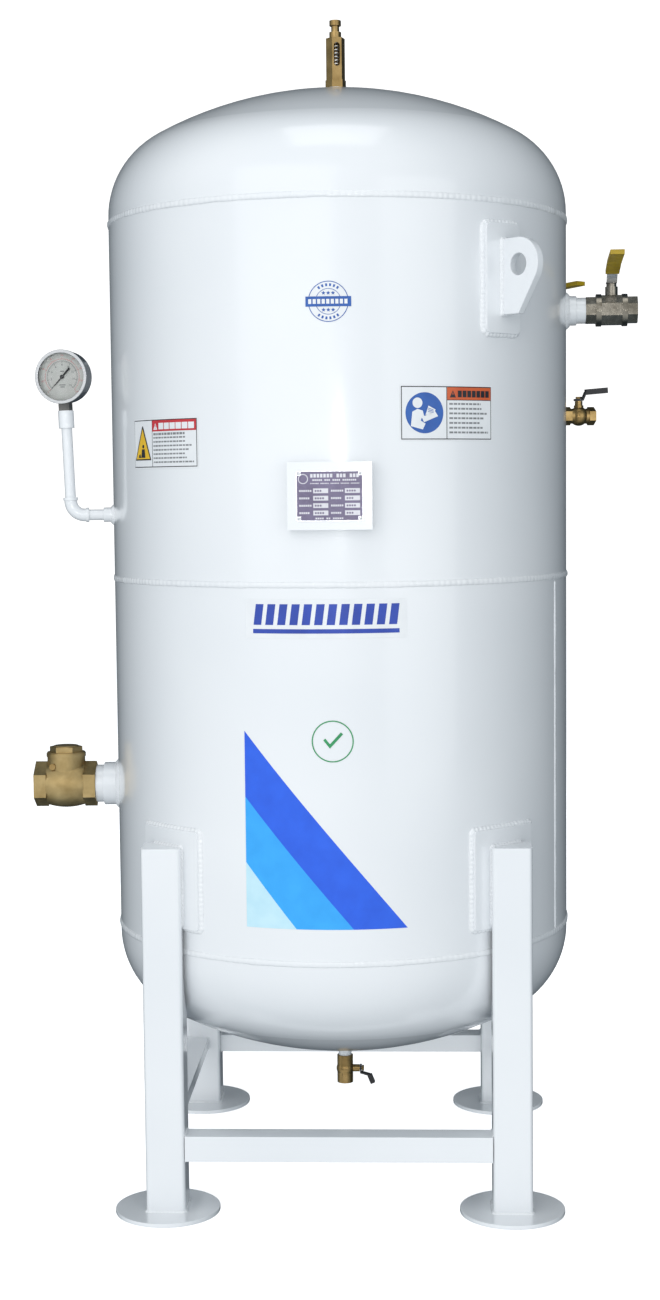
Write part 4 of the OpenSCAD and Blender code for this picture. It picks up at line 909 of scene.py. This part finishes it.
def round_seal(radius, mats):
    """Two rings with short rays and stars between them, and a band of blocks across."""
    shapes = [("label_blue", 1, q) for q in ring2(0, 0, 35.0, 36.4, 64)]
    shapes += [("label_white", 0, disc2(0, 0, 36.4, 64))]
    shapes += [("label_blue", 1, q) for q in ring2(0, 0, 22.3, 23.3, 48)]
    rays = 26
    for k in range(rays):
        if k % 13 in (4, 5, 6, 7, 8, 9):
            c, t = math.cos(TAU * k / rays), math.sin(TAU * k / rays)
            corners = ((27, 1.6), (32, 1.9), (32, -1.9), (27, -1.6))
            shapes.append(("label_blue", 1, [(c * r - t * off, t * r + c * off) for r, off in corners]))
    shapes.append(("label_blue", 2, box2(-41, -9, 41, 9)))
    for k in range(9):
        x = -36 + 8.1 * k
        shapes.append(("label_white", 3, box2(x, -4.2, x + 5.6, 4.2)))
    for sy in (-1, 1):
        shapes += [("label_blue", 2, star2(8.5 * k, sy * 15, 4.0, 1.7)) for k in (-1, 0, 1)]
    lay_all("seal", Film(0, 1709, radius), shapes, mats)


def clear_strip(radius, mats):
    """A row of slanted blue bars over a plain line."""
    w, h = 37.6 * math.radians(radius), 70
    shapes = [("label_white", 0, box2(-w / 2, -h / 2, w / 2, h / 2)),
              ("mark_blue", 1, box2(-w / 2 + 14, -26.5, w / 2 - 14, -18.5))]
    for k in range(12):
        x = -w / 2 + 15 + k * (w - 36) / 11.55
        shapes.append(("mark_blue", 1, [(x, -11), (x + 15, -11), (x + 20, 27), (x + 5, 27)]))
    lay_all("strip", Film(-1.4, 1139.5, radius), shapes, mats)


def tick_ring(radius, mats):
    """A green ring with a tick."""
    shapes = [("label_green", 1, q) for q in ring2(0, 0, 36.2, 38.4, 64)]
    shapes.append(("label_green", 1, [(-17, 2), (-5, -13), (19, 13), (15, 16.5), (-5, -5), (-13.5, 5.5)]))
    lay_all("check_ring", Film(0, 916, radius), shapes, mats)


def corner_bands(radius, mats):
    """Three blue bands in the corner of a triangle."""
    deg = math.radians(radius)
    left, right = -21 * deg, 17.1 * deg
    low, top = 568, 933
    (x1, z1), (x2, z2) = (-8.8 * deg, 689), (4.5 * deg, 811)
    shapes = [("stripe_pale", 0, [(left, low), (x1, low), (left, z1)]),
              ("stripe_mid", 0, [(x1, low), (x2, low), (left, z2), (left, z1)]),
              ("stripe_deep", 0, [(x2, low), (right, low), (left, top), (left, z2)])]
    lay_all("stripes", Film(0, 0, radius), shapes, mats)


def make_labels(radius, mats):
    for lay in (hazard_panel, reader_panel, round_seal, clear_strip, tick_ring, corner_bands):
        lay(radius, mats)


# ---- Nameplate ----

def plate_box(bm, x0, z0, x1, z1, y, t):
    made = bmesh.ops.create_cube(bm, size=1)["verts"]
    middle = Vector(((x0 + x1) / 2, y - t / 2, (z0 + z1) / 2))
    for v in made:
        v.co = (middle + v.co * Vector((x1 - x0, t, z1 - z0))) * MM


def make_nameplate(mats):
    """A dark printed field with cut corners, a badge, rows of blocks and value boxes, in mm on the plate."""
    low, high = (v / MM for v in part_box("nameplate"))
    face = low.y
    cx, cz = (low.x + high.x) / 2, (low.z + high.z) / 2
    w, h = high.x - low.x, high.z - low.z
    left, top = cx - w / 2, cz + h / 2
    ink = bmesh.new()
    bright = bmesh.new()
    notch = 7
    plate_box(ink, left + 2, top - h + 2 + notch, left + w - 2, top - 2 - notch, face, 0.12)
    plate_box(ink, left + 2 + notch, top - h + 2, left + w - 2 - notch, top - h + 2 + notch, face, 0.12)
    plate_box(ink, left + 2 + notch, top - 2 - notch, left + w - 2 - notch, top - 2, face, 0.12)
    skin = face - 0.12
    # a plain round badge
    for quad in ring2(left + 13, top - 15, 7.6, 9.0, 24):
        bright.faces.new([bright.verts.new(Vector((x, skin - 0.05, z)) * MM) for x, z in quad])
    for k in range(15):
        x = left + 26 + 5.9 * k
        if k not in (7, 11):
            plate_box(bright, x, top - 12.5, x + 4.4, top - 6, skin, 0.08)
    for k in range(22):
        x = left + 30 + 3.6 * k
        if k not in (5, 9, 14):
            plate_box(bright, x, top - 18.6, x + 2.6, top - 15.6, skin, 0.08)
    for k in range(34):
        if k % 7 != 6:
            x = left + 26 + 2.6 * k
            plate_box(bright, x, top - 24, x + 1.9, top - 22.2, skin, 0.08)
    for row in range(4):
        z = top - 32 - 13.2 * row
        for col in range(2):
            x = left + 6 + col * 57
            plate_box(bright, x + 25, z - 8.5, x + 52, z, skin, 0.08)
            for k in range(6 - row % 2):
                plate_box(bright, x + 3.8 * k, z - 6.0, x + 2.9 + 3.8 * k, z - 2.6, skin, 0.08)
            for k in range(3 + (row + col) % 2):
                plate_box(ink, x + 28 + 4.4 * k, z - 6.0, x + 31 + 4.4 * k, z - 2.8, skin - 0.08, 0.05)
    for k in range(13):
        if k not in (4, 7):
            x = left + 35 + 3.9 * k
            plate_box(bright, x, top - h + 3.8, x + 2.9, top - h + 6.8, skin, 0.08)
    for name, bm, mat in (("nameplate_ink", ink, "plate_ink"), ("nameplate_relief", bright, "plate_print")):
        piece = mesh_object(name, bm, mats[mat])
        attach(piece, ROOT)


# ---- Gauge ----

def gauge_matrix():
    joint = joints["pointer_turn"]
    n = -Vector(joint["axis"]).normalized()
    up = (Vector((0, 0, 1)) - n * n.z).normalized()
    across = up.cross(n)
    m = Matrix((across, up, n)).transposed().to_4x4()
    m.translation = Vector(joint["pos_m"])
    return m


def make_dial(mats):
    m = gauge_matrix()
    inverse = m.inverted()
    face = max((inverse @ v.co).z for v in nodes["gauge_dial"].data.vertices) / MM
    black, red = bmesh.new(), bmesh.new()

    def flat(bm, quad, z=0.08):
        bm.faces.new([bm.verts.new(Vector((x, y, face + z)) * MM) for x, y in quad])

    def bar(bm, a, r0, r1, w):
        c, s = math.cos(a), math.sin(a)
        corners = ((r0, -w / 2), (r1, -w / 2), (r1, w / 2), (r0, w / 2))
        flat(bm, [(x * c - y * s, x * s + y * c) for x, y in corners])

    def arc(bm, r0, r1, a0, a1, steps=60):
        for i in range(steps):
            p, q = a0 + (a1 - a0) * i / steps, a0 + (a1 - a0) * (i + 1) / steps
            corners = ((r0, p), (r1, p), (r1, q), (r0, q))
            flat(bm, [(r * math.cos(t), r * math.sin(t)) for r, t in corners], 0.07)

    start, sweep = math.radians(225), math.radians(-270)
    for i in range(81):
        inner = 27.5 if i % 10 == 0 else (28.6 if i % 5 == 0 else 29.6)
        bar(black, start + sweep * i / 80, inner, 31.5, 0.75 if i % 10 == 0 else 0.4)
    arc(black, 31.4, 31.8, start, start + sweep)
    for i in range(57):
        outer, w = (38.4, 0.7) if i % 7 == 0 else (36.8, 0.35)
        bar(red, start + sweep * i / 56, 35.2, outer, w)
    arc(red, 34.8, 35.2, start, start + sweep)
    # three plain bars where a dial carries its small print
    for x, y, w in ((0, -16, 13), (0, -20, 9), (0, 11, 8)):
        flat(black, box2(x - w / 2, y - 0.7, x + w / 2, y + 0.7))
    for name, bm, mat in (("dial_scale_black", black, "label_black"), ("dial_scale_red", red, "label_red")):
        bmesh.ops.recalc_face_normals(bm, faces=bm.faces)
        piece = mesh_object(name, bm, mats[mat])
        piece.matrix_world = m
        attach(piece, ROOT)
    for i in range(9):
        a = start + sweep * i / 8
        dial_figure(m, str(i * 2), a, 23.4, 5.4, face, mats["label_black"], f"dial_figure_black_{i}")
        dial_figure(m, str(i * 30), a, 42.2, 4.2, face, mats["label_red"], f"dial_figure_red_{i}")


def dial_figure(m, text, a, r, size, face, mat, name):
    """One number of a scale, upright on the dial at the angle a and the radius r."""
    curve = bpy.data.curves.new("figure", "FONT")
    curve.body = text
    curve.size = size * MM
    curve.align_x, curve.align_y = "CENTER", "CENTER"
    curve.extrude = 0.00003
    curve.resolution_u = 3
    holder = bpy.data.objects.new("figure", curve)
    bpy.context.scene.collection.objects.link(holder)
    bpy.context.view_layer.update()
    evaluated = holder.evaluated_get(bpy.context.evaluated_depsgraph_get())
    mesh = bpy.data.meshes.new_from_object(evaluated)
    bpy.data.objects.remove(holder)
    mesh.materials.clear()
    mesh.materials.append(mat)
    piece = bpy.data.objects.new(name, mesh)
    bpy.context.scene.collection.objects.link(piece)
    place = Vector((r * math.cos(a), r * math.sin(a), face + 0.12)) * MM
    piece.matrix_world = m @ Matrix.Translation(place)
    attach(piece, ROOT)


# ---- Valves ----

def helix_spring(mats):
    low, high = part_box("safety_spring")
    r_out, height = (high.x - low.x) / 2 / MM, (high.z - low.z) / MM
    wire = 1.5
    r = r_out - wire
    turns = 9.5
    bm = bmesh.new()
    steps = int(turns * 28)
    rings = []
    for i in range(steps + 1):
        t = i / steps
        a = TAU * turns * t
        # closed end coils, then an even pitch
        rise = min(1, max(0, (t - 0.06) / 0.88))
        z = wire + (height - 2 * wire) * rise
        centre = Vector((r * math.cos(a), r * math.sin(a), low.z / MM + z))
        radial = Vector((math.cos(a), math.sin(a), 0))
        ring = []
        for k in range(10):
            b = TAU * k / 10
            around = radial * math.cos(b) + Vector((0, 0, 1)) * math.sin(b)
            ring.append(bm.verts.new((centre + around * wire) * MM))
        rings.append(ring)
    for a, b in zip(rings, rings[1:]):
        for k in range(10):
            bm.faces.new((a[k], a[(k + 1) % 10], b[(k + 1) % 10], b[k]))
    bm.faces.new(list(reversed(rings[0])))
    bm.faces.new(rings[-1])
    bmesh.ops.recalc_face_normals(bm, faces=bm.faces)
    piece = mesh_object("safety_spring_coil", bm, mats["spring_steel"], 40)
    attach(piece, ROOT)
    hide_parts("safety_spring")
    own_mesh(piece)


def set_materials(mats):
    slots = {p["node"]: p["material_slot"] for p in frame["record"]["subparts"]}
    for name, obj in nodes.items():
        obj.data.materials.clear()
        obj.data.materials.append(mats[slots[name]])
    for name in ("check_valve_body", "check_valve_cap", "check_flapper"):
        nodes[name].data.materials[0] = mats["cast_brass"]


def finish_edges(mats):
    def rounded(node, mat, width, slot=None, **extra):
        finished_copy(node, mats[mat], width, **extra)

    for name in ("leg_front_left", "leg_front_right", "leg_rear_left", "leg_rear_right", "foot_plates",
                 "front_bar", "rear_bar", "side_bars", "leg_pads", "lug_pads"):
        rounded(name, "white_paint", 1.2)
    for name, width in (("lifting_lugs", 1.6), ("nameplate_bracket", 0.9), ("weld_couplings", 1.6),
                        ("pipe_nipples", 1.2), ("gauge_elbow", 0.9), ("gauge_socket", 1.0)):
        rounded(name, "white_paint", width)
    rounded("gauge_shank", "dark_fitting", 0.6)
    rounded("gauge_bezel", "gauge_steel", 1.2, segments=3)
    rounded("gauge_case", "gauge_steel", 1.2, segments=3)
    rounded("check_valve_body", "cast_brass", 1.6, slot="brass", segments=3)
    rounded("check_valve_cap", "cast_brass", 1.4, slot="brass", segments=3)
    rounded("check_hinge_pin", "brass", 0.6)
    for which in ("outlet", "rear"):
        body = which + "_handle"
        rounded(which + "_valve_body", "nickel_plate", 1.0)
        rounded(which + "_nut", "lever_steel", 0.6, body=body)
        rounded(which + "_lever", "lever_steel", 0.6, body=body)
        rounded(which + "_grip", "yellow_sleeve", 2.2, body=body, segments=4)
    rounded("side_valve_body", "brass", 0.8)
    rounded("drain_valve_body", "brass", 0.8)
    rounded("side_lever", "black_enamel", 1.0, body="side_handle")
    rounded("drain_lever", "black_enamel", 1.0, body="drain_handle")
    rounded("safety_valve_body", "brass", 0.7)
    rounded("safety_spindle", "brass", 0.7, body="safety_plunger")


make_camera()
make_world()
make_stage()
materials = make_materials()
sizes = read_sizes()
set_materials(materials)
finish_edges(materials)
make_shell_welds(sizes, materials["weld_paint"])
make_stand_welds(sizes, materials["weld_paint"])
make_labels(sizes["R"], materials)
make_nameplate(materials)
make_dial(materials)
helix_spring(materials)
make_lights()
scene = bpy.context.scene
scene.view_settings.view_transform = "Standard"
scene.view_settings.look = "None"
scene.view_settings.exposure = -0.24
